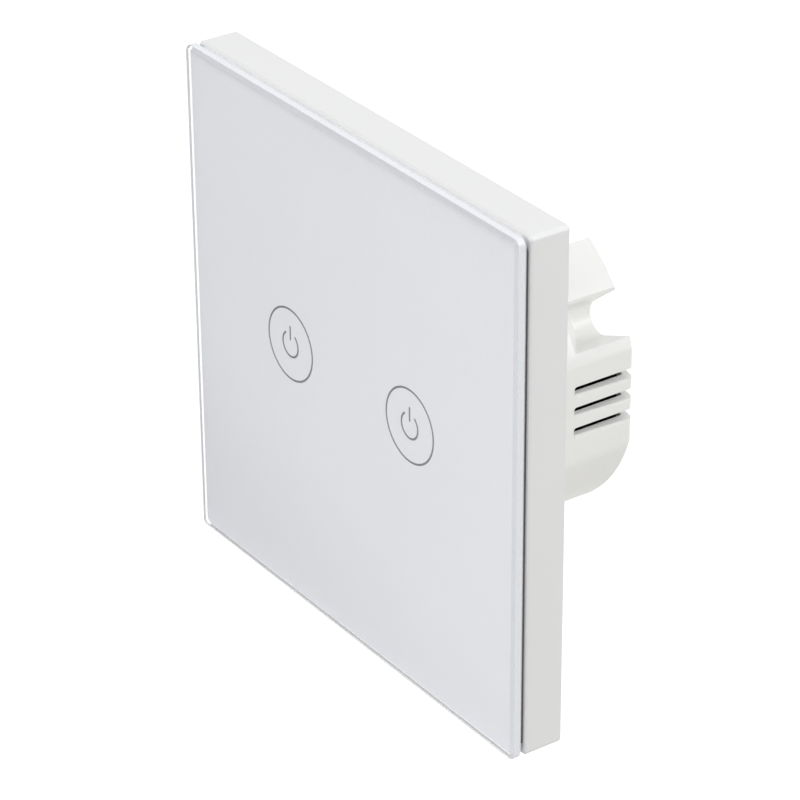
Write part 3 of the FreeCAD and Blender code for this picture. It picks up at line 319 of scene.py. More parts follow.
def smooth(piece, angle):
    """Smooth shading over edges up to that many degrees, with large faces kept flat."""
    select_only(piece)
    bpy.ops.object.shade_smooth_by_angle(angle=math.radians(angle))
    bpy.ops.object.modifier_add(type="WEIGHTED_NORMAL")
    piece.modifiers[-1].keep_sharp = True
    bpy.ops.object.modifier_apply(modifier=piece.modifiers[-1].name)


def soften(piece, width, segments=2, angle=30):
    """Rounds a piece's sharp edges by that width."""
    select_only(piece)
    bpy.ops.object.modifier_add(type="BEVEL")
    bevel = piece.modifiers[-1]
    bevel.width = width
    bevel.segments = segments
    bevel.angle_limit = math.radians(angle)
    bpy.ops.object.modifier_apply(modifier=bevel.name)


def carve(piece, cutter):
    """Cuts the cutter out of a piece and removes the cutter."""
    select_only(piece)
    bpy.ops.object.modifier_add(type="BOOLEAN")
    cut = piece.modifiers[-1]
    cut.operation = "DIFFERENCE"
    cut.object = cutter
    bpy.ops.object.modifier_apply(modifier=cut.name)
    bpy.data.objects.remove(cutter)


def copy_to(piece, name, move):
    """A copy of a piece with its own mesh, moved by that vector."""
    select_only(piece)
    bpy.ops.object.duplicate()
    twin = name_new(name)
    twin.location = move
    return settle(twin)


def merged_copy(node, name):
    """A copy of a CAD node that can be finished, with its points merged and its flat faces whole."""
    select_only(frame["nodes"][node])
    bpy.ops.object.duplicate()
    piece = name_new(name)
    del piece["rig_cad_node"]
    del piece["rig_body"]
    bpy.ops.object.parent_clear(type="CLEAR_KEEP_TRANSFORM")
    bpy.ops.mesh.customdata_custom_splitnormals_clear()
    with editing(piece, start="SELECT"):
        bpy.ops.mesh.remove_doubles(threshold=0.002 * MM)
        bpy.ops.mesh.dissolve_limited(angle_limit=math.radians(0.3))
    return piece


def softened_copy(node, name, width, segments=3, angle=40):
    """A copy of a CAD node with its sharp edges rounded by that width."""
    piece = merged_copy(node, name)
    soften(piece, width, segments, angle)
    smooth(piece, 40)
    return piece


def add_finish(piece, finish, wanted):
    """Gives a second material to the faces whose middle and normal pass the test."""
    piece.data.materials.append(finish)
    with editing(piece):
        select_faces(piece, wanted)
        piece.active_material_index = 1
        bpy.ops.object.material_slot_assign()


def fit(piece, body, slot, finish, *nodes):
    """Gives a piece its body and material, and hides the CAD nodes that it stands for. The slot is not used.
    """
    piece.data.materials.clear()
    piece.data.materials.append(finish)
    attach(piece, body)
    if nodes:
        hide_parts(*nodes)


def finish_nodes(finish, slot, *nodes):
    """Gives CAD nodes that stay in view their material. The slot is not used."""
    for node in nodes:
        piece = frame["nodes"][node]
        piece.data.materials.clear()
        piece.data.materials.append(finish)


# Helpers for materials

class Finish:
    """A material in the making, with short ways to add the nodes of its pattern."""

    def __init__(self, name, roughness=0.5, metallic=0.0):
        self.material = bpy.data.materials.new(name)
        self.material.use_nodes = True
        self.nodes = self.material.node_tree.nodes
        self.links = self.material.node_tree.links
        self.shader = self.nodes["Principled BSDF"]
        self.set("Roughness", roughness)
        self.set("Metallic", metallic)
        self.here = self.nodes.new("ShaderNodeTexCoord").outputs["Object"]

    def set(self, socket, value):
        self.shader.inputs[socket].default_value = value

    def join(self, source, socket):
        self.links.new(source, self.shader.inputs[socket])

    def stretched(self, scale):
        """Object coordinates, scaled along each axis."""
        mapping = self.nodes.new("ShaderNodeMapping")
        mapping.inputs["Scale"].default_value = scale
        self.links.new(self.here, mapping.inputs["Vector"])
        return mapping.outputs["Vector"]

    def noise(self, size, detail=2.0, stretch=None):
        """Soft noise whose patches are about that size in metres."""
        noise = self.nodes.new("ShaderNodeTexNoise")
        noise.inputs["Scale"].default_value = 1.0 / size
        noise.inputs["Detail"].default_value = detail
        source = self.stretched(stretch) if stretch else self.here
        self.links.new(source, noise.inputs["Vector"])
        return noise.outputs["Fac"]

    def spread(self, value, low, high, start=0.3, end=0.7):
        """A number that runs from low to high while value runs from start to end."""
        ranged = self.nodes.new("ShaderNodeMapRange")
        for socket, number in zip(("From Min", "From Max", "To Min", "To Max"), (start, end, low, high)):
            ranged.inputs[socket].default_value = number
        self.links.new(value, ranged.inputs["Value"])
        return ranged.outputs["Result"]

    def maths(self, operation, first, second):
        """A sum of sockets or numbers."""
        node = self.nodes.new("ShaderNodeMath")
        node.operation = operation
        for socket, value in zip(node.inputs, (first, second)):
            if isinstance(value, float):
                socket.default_value = value
            else:
                self.links.new(value, socket)
        return node.outputs["Value"]

    def blend(self, factor, first, second):
        """A colour between two colours or colour sockets."""
        mix = self.nodes.new("ShaderNodeMix")
        mix.data_type = "RGBA"
        self.links.new(factor, mix.inputs["Factor"])
        for socket, value in zip((mix.inputs[6], mix.inputs[7]), (first, second)):
            if isinstance(value, bpy.types.NodeSocket):
                self.links.new(value, socket)
            else:
                socket.default_value = (*value, 1.0)
        return mix.outputs[2]

    def cloud(self, size, detail, first, second, stretch=None):
        """Colours the surface in soft patches between two colours, and hands back the pattern."""
        pattern = self.noise(size, detail, stretch)
        self.join(self.blend(self.spread(pattern, 0.0, 1.0), first, second), "Base Color")
        return pattern

    def at_sides(self):
        """1 on faces that look up, down or sideways, and 0 on those that look to the front or the rear."""
        split = self.nodes.new("ShaderNodeSeparateXYZ")
        self.links.new(self.here.node.outputs["Normal"], split.inputs[0])
        return self.maths("LESS_THAN", self.maths("ABSOLUTE", split.outputs["Y"], 0.0), 0.5)

    def relief(self, height, depth, strength=1.0):
        """A surface relief of that depth in metres."""
        bump = self.nodes.new("ShaderNodeBump")
        bump.inputs["Strength"].default_value = strength
        bump.inputs["Distance"].default_value = depth
        self.links.new(height, bump.inputs["Height"])
        self.join(bump.outputs["Normal"], "Normal")


def shade(colour, factor):
    """A colour made lighter or darker."""
    return tuple(channel * factor for channel in colour)


def moulded_plastic(name, colour, roughness=0.45, grain=0.14 * MM, depth=0.004 * MM):
    """Moulded plastic: broad changes of tone, a fine eroded grain and patches of more and less gloss."""
    finish = Finish(name, roughness)
    flow = finish.cloud(14 * MM, 3.0, shade(colour, 0.985), colour)
    fine = finish.noise(grain, 2.0)
    gloss = finish.maths("ADD", finish.spread(flow, -0.03, 0.03), finish.spread(fine, -0.05, 0.05))
    finish.join(finish.maths("ADD", gloss, roughness), "Roughness")
    finish.relief(fine, depth)
    finish.set("IOR", 1.5)
    return finish.material


def plated_metal(name, colour, roughness=0.28, brush=(1.0, 1.0, 1.0)):
    """Plated metal: faint clouding and fine marks that run one way."""
    finish = Finish(name, roughness, metallic=1.0)
    cloud = finish.cloud(1.6 * MM, 3.0, shade(colour, 0.86), colour)
    lines = finish.noise(0.12 * MM, 3.0, brush)
    rough = finish.maths("ADD", finish.spread(cloud, -0.05, 0.05), finish.spread(lines, -0.08, 0.08))
    finish.join(finish.maths("ADD", rough, roughness), "Roughness")
    finish.relief(lines, 0.003 * MM)
    return finish.material


def solder_mask(name, colour, tracks=1.4 * MM):
    """A board under solder mask: tracks that show through as a lighter tone, in fields that run two ways."""
    finish = Finish(name, 0.3)
    fields = finish.nodes.new("ShaderNodeTexVoronoi")
    fields.distance = "CHEBYCHEV"
    fields.inputs["Scale"].default_value = 1.0 / (7 * MM)
    finish.links.new(finish.here, fields.inputs["Vector"])
    lines = []
    for direction in ("X", "Z"):
        wave = finish.nodes.new("ShaderNodeTexWave")
        wave.bands_direction = direction
        wave.inputs["Scale"].default_value = 0.3 / tracks
        finish.links.new(finish.here, wave.inputs["Vector"])
        lines.append(finish.spread(wave.outputs["Fac"], 0.0, 1.0, 0.5, 0.62))
    pick = finish.nodes.new("ShaderNodeSeparateColor")
    finish.links.new(fields.outputs["Color"], pick.inputs["Color"])
    across = finish.maths("GREATER_THAN", pick.outputs["Red"], 0.5)
    routed = finish.maths("GREATER_THAN", pick.outputs["Green"], 0.35)
    both = finish.nodes.new("ShaderNodeMix")
    finish.links.new(across, both.inputs["Factor"])
    finish.links.new(lines[0], both.inputs[2])
    finish.links.new(lines[1], both.inputs[3])
    track = finish.maths("MULTIPLY", both.outputs[0], routed)
    masked = finish.blend(track, colour, shade(colour, 1.75))
    layers = finish.noise(0.3 * MM, 2.0, (0.2, 2.0, 0.2))
    sawn = finish.blend(layers, (0.26, 0.28, 0.12), (0.42, 0.43, 0.22))
    finish.join(finish.blend(finish.at_sides(), masked, sawn), "Base Color")
    finish.relief(track, 0.03 * MM)
    finish.set("Coat Weight", 0.5)
    finish.set("Coat Roughness", 0.12)
    return finish.material


def cover_glass_finish(tint):
    """Clear glass that lets lamps reach the print behind it, with the faintest smears on it."""
    finish = Finish("cover_glass", 0.0)
    finish.set("Base Color", (*tint, 1.0))
    finish.set("Transmission Weight", 1.0)
    finish.set("IOR", 1.5)
    smear = finish.noise(9 * MM, 3.0, (1.0, 1.0, 0.4))
    finish.join(finish.spread(smear, 0.0, 0.05, 0.55, 0.75), "Roughness")
    through = finish.nodes.new("ShaderNodeBsdfTransparent")
    path = finish.nodes.new("ShaderNodeLightPath")
    plain = finish.maths("MAXIMUM", path.outputs["Is Shadow Ray"], path.outputs["Is Diffuse Ray"])
    mix = finish.nodes.new("ShaderNodeMixShader")
    finish.links.new(plain, mix.inputs[0])
    finish.links.new(finish.shader.outputs[0], mix.inputs[1])
    finish.links.new(through.outputs[0], mix.inputs[2])
    finish.links.new(mix.outputs[0], finish.nodes["Material Output"].inputs["Surface"])
    return finish.material


def ground_glass():
    """The ground side of the glass, which scatters light between fine grinding marks."""
    finish = Finish("ground_glass", 0.4)
    marks = finish.cloud(0.08 * MM, 2.0, (0.79, 0.81, 0.85), (0.87, 0.89, 0.92), (0.15, 1.0, 0.15))
    finish.join(finish.spread(marks, 0.34, 0.46), "Roughness")
    finish.set("Transmission Weight", 0.05)
    finish.set("IOR", 1.5)
    return finish.material


def white_print(colour):
    """Screen-printed white: a hint of the mesh it was printed through, and slow changes of tone."""
    finish = Finish("white_print", 0.35)
    slow = finish.noise(30 * MM, 2.0)
    mesh = finish.noise(0.25 * MM, 1.0)
    tone = finish.maths("ADD", finish.spread(slow, 0.0, 0.7), finish.spread(mesh, 0.0, 0.3))
    finish.join(finish.blend(tone, shade(colour, 0.985), shade(colour, 1.01)), "Base Color")
    return finish.material


def painted_light_filler():
    """Soft white filler, a little uneven; its white is painted light in the gap at the top and the bottom."""
    finish = Finish("painted_light_filler", 0.6)
    finish.relief(finish.cloud(1.5 * MM, 3.0, (0.76, 0.77, 0.79), (0.84, 0.85, 0.87)), 0.02 * MM)
    return finish.material


def painted_shade_tape(colour):
    """Dark foam tape with open pores, whose dark colour is painted shade for the gap between the glass and the
    frame.
    """
    finish = Finish("painted_shade_tape", 0.85)
    finish.relief(finish.cloud(0.12 * MM, 2.0, shade(colour, 0.7), shade(colour, 1.2)), 0.03 * MM)
    return finish.material


def mark_ink(colour):
    """Dark ink with a slightly uneven cover."""
    finish = Finish("mark_ink", 0.4)
    finish.cloud(0.2 * MM, 2.0, shade(colour, 0.85), shade(colour, 1.2))
    return finish.material


# The glass front

def film_copy(name, reach_x, reach_z, front_move):
    """A copy of the film with its edges at those distances from the middle, and its front face moved."""
    film = merged_copy("panel_film", name)
    with editing(film):
        select_faces(film, lambda middle, normal: normal.y < -0.9)
        bpy.ops.transform.translate(value=(0.0, front_move, 0.0))
        bpy.ops.mesh.select_all(action="SELECT")
        bpy.ops.transform.resize(
            value=(reach_x / FILM_HIGH.x, 1.0, reach_z / FILM_HIGH.z), center_override=(0.0, 0.0, 0.0))
    return film


def make_print_sheet(settings):
    """The white print, which reaches the glass's chamfer and sits against it with no air between."""
    sheet = film_copy("print_sheet", settings.print_reach, settings.print_reach, -PRINT_SINK)
    with editing(sheet):
        select_faces(sheet, lambda middle, normal: normal.y > 0.9)
        bpy.ops.transform.translate(value=(0.0, FILM_LOW.y + PRINT_THICKNESS - FILM_HIGH.y, 0.0))
    smooth(sheet, 30)
    white = white_print(settings.print_colour)
    fit(sheet, "front_panel", "printed_film", white)
    make_backing(settings, white)


def make_opening(half_width, half_height):
    """The cutter for an opening right through what lies between the glass and the frame."""
    middle = (0.0, (FILM_LOW.y + FILM_HIGH.y) / 2, 0.0)
    return add_box("opening", middle, (2 * half_width, 4 * MM, 2 * half_height))


def make_backing(settings, finish):
    """The white film laid behind the print in the frame's opening, for the touch springs to press on."""
    width = 2 * (settings.opening_reach - BACKING_GAP)
    middle = (0.0, FILM_LOW.y + PRINT_THICKNESS + BACKING_THICKNESS / 2, 0.0)
    backing = add_box("backing_film", middle, (width, BACKING_THICKNESS, width))
    bevel_edges(backing, lambda a, b: abs(a.y - b.y) > 0.1 * MM, BACKING_CORNER, 8)
    smooth(backing, 30)
    fit(backing, "front_panel", "printed_film", finish)


def make_shade_tape(settings):
    """The dark foam tape between the print and the frame's rim; its dark colour is painted shade, seen as a
    dark line at the sides.
    """
    shade_tape_piece = film_copy("dark_shade_tape", settings.shade_tape_reach, settings.shade_tape_height, TAPE_FRONT_GAP)
    carve(shade_tape_piece, make_opening(settings.opening_reach, settings.opening_reach))
    smooth(shade_tape_piece, 30)
    fit(shade_tape_piece, "front_panel", "printed_film", painted_shade_tape(settings.shade_tape_colour), "panel_film")


def make_light_filler(settings):
    """The white filler above and below the tape, which closes the gap at the top and the bottom and paints it
    light there, where the light falls in.
    """
    reach = settings.shade_tape_reach - FILLER_SIDE_GAP
    filler = film_copy("lit_gap_filler", reach, settings.print_reach, TAPE_FRONT_GAP)
    carve(filler, make_opening(2 * settings.shade_tape_reach, settings.shade_tape_height))
    smooth(filler, 30)
    fit(filler, "front_panel", "printed_film", painted_light_filler())


def make_glass(settings):
    """The cover glass: clear, with polished chamfers and ground sides."""
    glass = softened_copy("glass_panel", "cover_glass", GLASS_ROUNDING, 2, 25)
    fit(glass, "front_panel", "glass", cover_glass_finish(settings.glass_tint), "glass_panel")
    add_finish(glass, ground_glass(), lambda middle, normal: abs(normal.y) < 0.1)


def make_flat_ring(name, centre, radius, band, depth, vertices):
    """A flat ring across y: its outer radius, the width of its band and how far it is pushed along y."""
    bpy.ops.mesh.primitive_circle_add(
        vertices=vertices, radius=radius, fill_type="NGON", location=centre, rotation=UP_IS_OUT)
    ring = settle(name_new(name))
    with editing(ring, start="SELECT"):
        bpy.ops.mesh.inset(thickness=band)
        bpy.ops.mesh.delete(type="FACE")
        bpy.ops.mesh.select_all(action="SELECT")
        push(depth)
    close_up(ring)
    return ring


def make_power_mark(name, centre, settings):
    """One printed power mark: an open circle with an upright bar in its gap."""
    gap = math.radians(35)
    width = settings.line_width
    start = centre + Vector((math.sin(gap), 0.0, math.cos(gap))) * settings.mark_radius
    bpy.ops.mesh.primitive_plane_add(size=width, location=start, rotation=(0.0, gap + math.pi / 2, 0.0))
    mark = settle(name_new(name))
    with editing(mark, start="SELECT"):
        bpy.ops.transform.resize(value=(1.0, 0.1, 1.0), center_override=start)
        bpy.ops.mesh.spin(steps=56, angle=math.tau - 2 * gap, center=centre, axis=(0.0, -1.0, 0.0))
    close_up(mark)
    bar_bottom = 0.7 * MM
    bar_top = 3.2 * MM
    bar_centre = centre + Vector((0.0, 0.0, (bar_bottom + bar_top) / 2))
    bar = add_box(name + "_bar", bar_centre, (width, 0.1 * width, bar_top - bar_bottom))
    bevel_edges(bar, lambda a, b: abs(a.y - b.y) > 0.05 * width, 0.45 * width, 5)
    select_only(mark)
    bar.select_set(True)
    bpy.ops.object.join()
    return mark


class SwitchGlassFront(bpy.types.Operator):
    """Makes the cover glass, the white print behind it and the printed touch marks."""

    bl_idname = "wall_switch.glass_front"
    bl_label = "Glass front"

    def execute(self, context):
        settings = context.scene.switch_print
        make_print_sheet(settings)
        make_light_filler(settings)
        make_shade_tape(settings)
        make_glass(settings)
        ink = mark_ink(settings.mark_colour)
        depth = FILM_LOW.y - 0.05 * MM
        for side, sign in SIDES:
            centre = Vector((sign * settings.touch_spacing, depth, settings.touch_height))
            ring = make_flat_ring(f"touch_ring_{side}", centre, settings.ring_radius, settings.line_width,
                                  INK_THICKNESS, 128)
            fit(ring, "front_panel", "printed_film", ink)
            mark = make_power_mark(f"power_mark_{side}", centre, settings)
            fit(mark, "front_panel", "printed_film", ink)
        return {"FINISHED"}


# The mouldings

def make_wall_pocket(sign):
    """The cutter that thins the housing's side wall from within, round the vent slots."""
    middle = Vector((sign * 22.95, 19.7, 0.5)) * MM
    pocket = add_box("wall_pocket", middle, POCKET_SIZE)
    outer = abs(middle.x)
    bevel_edges(pocket, lambda a, b: min(abs(a.x), abs(b.x)) > outer, 0.25 * MM)
    return pocket


def make_shade_sheet(board):
    """The black insulating sheet that lies on the housing's rear wall, with clipped corners; its black is
    painted shade, so that the vent slots look black inside.
    """
    sheet = add_box("insulating_shade_sheet", SHEET_MIDDLE, SHEET_SIZE)
    for end, clip in ((1, UPPER_CLIP), (-1, LOWER_CLIP)):
        corner_z = SHEET_MIDDLE.z + end * SHEET_SIZE.z / 2
        bevel_edges(sheet, lambda a, b: abs(a.y - b.y) > 0.1 * MM and abs(a.z - corner_z) < 0.1 * MM, clip)
    fit(sheet, "base", "housing_plastic", board)


def make_barrier(board):
    """The upright black barrier between the two relays, which parts the two mains circuits."""
    barrier = add_box("relay_barrier", BARRIER_MIDDLE, BARRIER_SIZE)

    def at_front_corner(a, b):
        return abs(a.x - b.x) > 0.1 * MM and max(a.y, b.y) < BARRIER_MIDDLE.y

    bevel_edges(barrier, at_front_corner, BARRIER_CORNER, 4)
    smooth(barrier, 30)
    fit(barrier, "base", "housing_plastic", board)


def chamfer_sills(rear):
    """Breaks the outer edge of each vent's sill, so that it catches the light."""
    sills = [level - SLOT_HEIGHT / 2 for level in SLOT_LEVELS]

    def on_sill(a, b):
        level = min(abs(a.z - z) for z in sills) < 0.02 * MM and abs(a.z - b.z) < 0.01 * MM
        return level and min(abs(a.x), abs(b.x)) > FLAT_SIDE_X - 0.02 * MM

    bevel_edges(rear, on_sill, SILL_CHAMFER, 2)


class SwitchMouldings(bpy.types.Operator):
    """Finishes the front frame, the rear housing and the board carrier."""

    bl_idname = "wall_switch.mouldings"
    bl_label = "Mouldings"

    def execute(self, context):
        settings = context.scene.switch_plastic
        front = merged_copy("front_frame", "front_moulding")
        smooth(front, 50)
        fit(front, "front_panel", "frame_plastic",
            moulded_plastic("frame_plastic", settings.frame_colour, 0.42), "front_frame")
        rear = merged_copy("rear_housing", "rear_moulding")
        for _, sign in SIDES:
            carve(rear, make_wall_pocket(sign))
        chamfer_sills(rear)
        smooth(rear, 30)
        fit(rear, "base", "housing_plastic",
            moulded_plastic("housing_plastic", settings.housing_colour, 0.34), "rear_housing")
        finish_nodes(moulded_plastic("carrier_plastic", shade(settings.housing_colour, 0.92), 0.5),
                     "carrier_plastic", "board_carrier")
        # Black board for the sheet and the barrier; on the sheet its black is painted shade behind the vent
        # slots.
        board = moulded_plastic("black_board_and_painted_shade", (0.018, 0.018, 0.02), 0.6, 0.3 * MM, 0.01 * MM)
        make_shade_sheet(board)
        make_barrier(board)
        return {"FINISHED"}


# The screws of the carrier

def make_carrier_screw(settings, seat):
    """One pan-head screw with a cross drive, whose head sits on y = seat."""
    half = settings.head_height / 2
    bpy.ops.mesh.primitive_cylinder_add(
        vertices=40, radius=settings.head_radius, depth=settings.head_height,
        location=(0.0, seat - half, 0.0), rotation=UP_IS_OUT)
    screw = settle(name_new("carrier_screw_1"))
    front = seat - settings.head_height
    with editing(screw):
        select_faces(screw, lambda middle, normal: normal.y < -0.9)
        bpy.ops.mesh.bevel(offset=0.45 * settings.head_height, segments=5)
        select_faces(screw, lambda middle, normal: normal.y > 0.9)
        bpy.ops.mesh.inset(thickness=settings.head_radius - settings.shank_radius)
        push(settings.shank_length)
        bpy.ops.transform.resize(value=(0.6, 1.0, 0.6))
    for turn in (0.0, math.pi / 2):
        carve(screw, make_drive_arm(front, turn))
    return screw


def make_drive_arm(front, turn):
    """The cutter for one arm of a cross drive, narrower towards its bottom."""
    length = 2.2 * MM
    width = 0.5 * MM
    depth = 0.7 * MM
    spare = 0.1 * MM
    middle = (0.0, front + depth / 2 - spare, 0.0)
    arm = add_box("drive_arm", middle, (length, depth + 2 * spare, width), turn)
    with editing(arm):
        select_faces(arm, lambda middle, normal: normal.y > 0.9)
        bpy.ops.transform.resize(value=(0.6, 1.0, 0.6))
    return arm


class SwitchCarrierScrews(bpy.types.Operator):
    """Makes the four screws that hold the touch board on its carrier."""

    bl_idname = "wall_switch.carrier_screws"
    bl_label = "Carrier screws"

    def execute(self, context):
        settings = context.scene.switch_screws
        metal = plated_metal("screw_steel", (0.62, 0.62, 0.64), 0.3)
        first = make_carrier_screw(settings, BOARD_FRONT)
        smooth(first, 35)
        corners = [Vector((x, 0.0, z)) * settings.screw_spacing for z in (1, -1) for x in (-1, 1)]
        for number, corner in enumerate(corners[1:], start=2):
            fit(copy_to(first, f"carrier_screw_{number}", corner), "base", "screw_steel", metal)
        first.location = corners[0]
        fit(settle(first), "base", "screw_steel", metal)
        return {"FINISHED"}


# The touch board and what is on it

def make_cap():
    """A tinned end cap of a small resistor, a little larger than the resistor's end."""
    cap = add_box("resistor_cap", (0.0, 0.0, 0.0), CAP_SIZE)
    soften(cap, 0.06 * MM, 2, 40)
    smooth(cap, 40)
    return cap


def place_caps(tin):
    """Puts a cap on both ends of each small resistor."""
    low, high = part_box("touch_board_parts")
    first = make_cap()
    middle_y = (low.y + high.y) / 2 - 0.02 * MM
    for side, sign in SIDES:
        for row in range(4):
            z = high.z - RESISTOR_HALF_WIDTH - row * RESISTOR_PITCH
            for end, shift in (("a", -CAP_SHIFT), ("b", CAP_SHIFT)):
                move = Vector((sign * RESISTOR_X + shift, middle_y, z))
                cap = copy_to(first, f"resistor_cap_{side}_{row + 1}{end}", move)
                fit(cap, "base", "chip_resistor", tin)
    bpy.data.objects.remove(first)


def make_lens():
    """The clear dome on a lamp, flat where it sits on the lamp's body."""
    bpy.ops.mesh.primitive_uv_sphere_add(segments=24, ring_count=12, radius=LENS_RADIUS, rotation=UP_IS_OUT)
    lens = settle(name_new("lamp_lens"))
    with editing(lens):
        select_faces(lens, lambda middle, normal: middle.y > 0.0)
        bpy.ops.mesh.delete(type="FACE")
    with editing(lens, "EDGE"):
        bpy.ops.mesh.select_non_manifold()
        bpy.ops.mesh.fill_holes(sides=0)
        bpy.ops.mesh.select_all(action="SELECT")
        bpy.ops.transform.resize(value=(1.0, 0.6, 1.0), center_override=(0.0, 0.0, 0.0))
    close_up(lens)
    smooth(lens, 40)
    return lens


def place_lenses(resin, spacing):
    """Puts a dome on each of the four lamps under each ring."""
    low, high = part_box("ring_leds")
    first = make_lens()
    for side, sign in SIDES:
        for step in range(4):
            angle = math.tau * (step + 0.5) / 4
            x = sign * spacing + LAMP_RING * math.cos(angle)
            z = (low.z + high.z) / 2 + LAMP_RING * math.sin(angle)
            fit(copy_to(first, f"lamp_lens_{side}_{step + 1}", Vector((x, low.y, z))), "base", "lamp", resin)
    bpy.data.objects.remove(first)


def make_edge_pad(sign):
    """A gilded pad at the radio board's edge, with the half hole of its contact towards that side."""
    pad = add_box("radio_pad", (0.0, 0.0, 0.0), EDGE_PAD_SIZE)
    edge = (sign * EDGE_PAD_SIZE.x / 2, 0.0, 0.0)
    bpy.ops.mesh.primitive_cylinder_add(
        vertices=24, radius=EDGE_HOLE_RADIUS, depth=3 * EDGE_PAD_SIZE.y, location=edge, rotation=UP_IS_OUT)
    carve(pad, settle(name_new("pad_hole")))
    smooth(pad, 40)
    return pad


def place_edge_pads(gold):
    """Puts a row of pads along both long edges of the radio board."""
    low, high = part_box("radio_module")
    for side, sign in SIDES:
        first = make_edge_pad(sign)
        for row in range(8):
            z = high.z - EDGE_PADS_BELOW_TOP - row * EDGE_PAD_PITCH
            move = Vector((sign * (high.x - EDGE_PAD_SIZE.x / 2), low.y, z))
            fit(copy_to(first, f"radio_pad_{side}_{row + 1}", move), "base", "copper", gold)
        bpy.data.objects.remove(first)


def make_touch_chip(black, tin):
    """The touch chip, with tinned legs at both sides of its black body."""
    chip = merged_copy("touch_chip", "moulded_chip")
    smooth(chip, 30)
    fit(chip, "base", "chip_black", black, "touch_chip")
    add_finish(chip, tin, lambda middle, normal: abs(middle.x) > CHIP_HALF_WIDTH + 0.05 * MM)


def make_chip_mark(black):
    """The small moulded ring that marks the chip's first leg."""
    low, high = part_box("touch_chip")
    place = (-1.3 * MM, low.y, high.z - 0.8 * MM)
    mark = make_flat_ring("chip_mark", place, CHIP_MARK_RADIUS, 0.1 * MM, -0.05 * MM, 32)
    smooth(mark, 40)
    fit(mark, "base", "chip_black", black)


class SwitchTouchBoard(bpy.types.Operator):
    """Finishes the touch board, its chip, its small parts, the radio module, the lamps and the guides."""

    bl_idname = "wall_switch.touch_board"
    bl_label = "Touch board"

    def execute(self, context):
        settings = context.scene.switch_boards
        black = moulded_plastic("chip_black", (0.02, 0.02, 0.022), 0.55, 0.08 * MM)
        finish_nodes(solder_mask("board_mask", settings.mask_colour), "board", "touch_board", "power_board")
        module = solder_mask("module_mask", settings.module_colour, 0.8 * MM)
        finish_nodes(module, "module_board", "radio_module")
        finish_nodes(moulded_plastic("chip_resistor", (0.05, 0.045, 0.04), 0.4, 0.06 * MM),
                     "chip_resistor", "touch_board_parts")
        tin = plated_metal("shield_tin", (0.7, 0.71, 0.72), 0.3)
        can = softened_copy("radio_shield", "shield_can", CAN_ROUNDING)
        fit(can, "base", "shield_tin", tin, "radio_shield")
        finish_nodes(plated_metal("bare_copper", (0.75, 0.38, 0.2), 0.3), "copper", "radio_antenna")
        resin = moulded_plastic("lamp_resin", (0.85, 0.8, 0.5), 0.25)
        finish_nodes(resin, "lamp", "ring_leds")
        finish_nodes(milky_plastic(), "clear_plastic", "light_guide_left", "light_guide_right")
        finish_nodes(black, "header_plastic", "header_socket")
        gold = plated_metal("gold_pin", (0.8, 0.6, 0.25), 0.22)
        finish_nodes(gold, "pin_metal", "header_pins")
        place_caps(tin)
        place_lenses(resin, context.scene.switch_print.touch_spacing)
        place_edge_pads(gold)
        make_touch_chip(black, tin)
        make_chip_mark(black)
        return {"FINISHED"}


def milky_plastic():
    """Milky light guide plastic."""
    finish = Finish("milky_plastic", 0.3)
    finish.cloud(2 * MM, 2.0, (0.8, 0.82, 0.83), (0.88, 0.89, 0.9))
    finish.set("Transmission Weight", 0.35)
    finish.set("Subsurface Weight", 0.3)
    finish.set("Subsurface Scale", 1.0 * MM)
    return finish.material


# The touch springs

def make_touch_spring(name, node, settings):
    """One coiled wire that carries the touch from the film to the board."""
    low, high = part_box(node)
    wire = settings.wire_radius
    turns = settings.spring_turns
    reach = settings.spring_radius
    middle = Vector(((low.x + high.x) / 2, high.y - wire, (low.z + high.z) / 2))
    bpy.ops.mesh.primitive_circle_add(vertices=12, radius=wire, fill_type="NOTHING", location=middle)
    spring = name_new(name)
    with editing(spring, "VERT", "SELECT"):
        bpy.ops.transform.translate(value=(reach, 0.0, 0.0))
    select_only(spring)
    bpy.ops.object.modifier_add(type="SCREW")
    coil = spring.modifiers[-1]
    coil.axis = "Y"
    coil.angle = -math.tau
    coil.iterations = turns
    coil.screw_offset = -(high.y - low.y - 2 * wire) / turns
    coil.steps = 56
    coil.render_steps = 56
    coil.use_merge_vertices = True
    coil.merge_threshold = 0.001 * MM
    bpy.ops.object.modifier_apply(modifier=coil.name)
    settle(spring)
    with editing(spring, "EDGE"):
        bpy.ops.mesh.select_non_manifold()
        bpy.ops.mesh.fill_holes(sides=0)
    close_up(spring)
    smooth(spring, 50)
    return spring


def make_pad(name, centre, settings):
    """The tinned ring on the board that a touch spring is soldered to."""
    half_band = 0.9 * MM
    radius = settings.spring_radius + half_band
    pad = make_flat_ring(name, centre, radius, 2 * half_band, -0.08 * MM, 64)
    soften(pad, 0.03 * MM, 2, 40)
    smooth(pad, 40)
    return pad


class SwitchTouchSprings(bpy.types.Operator):
    """Makes the two touch springs and the tinned rings that they stand on."""

    bl_idname = "wall_switch.touch_springs"
    bl_label = "Touch springs"

    def execute(self, context):
        settings = context.scene.switch_springs
        wire = plated_metal("spring_wire", (0.72, 0.7, 0.66), 0.2, (3.0, 0.3, 3.0))
        tin = plated_metal("solder_tin", (0.7, 0.71, 0.73), 0.36)
        for side, _ in SIDES:
            node = f"touch_spring_{side}"
            low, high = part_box(node)
            centre = Vector(((low.x + high.x) / 2, BOARD_FRONT, (low.z + high.z) / 2))
            fit(make_touch_spring(f"coil_spring_{side}", node, settings), "base", "spring_wire", wire, node)
            fit(make_pad(f"spring_pad_{side}", centre, settings), "base", "spring_wire", tin)
        return {"FINISHED"}


# The terminals

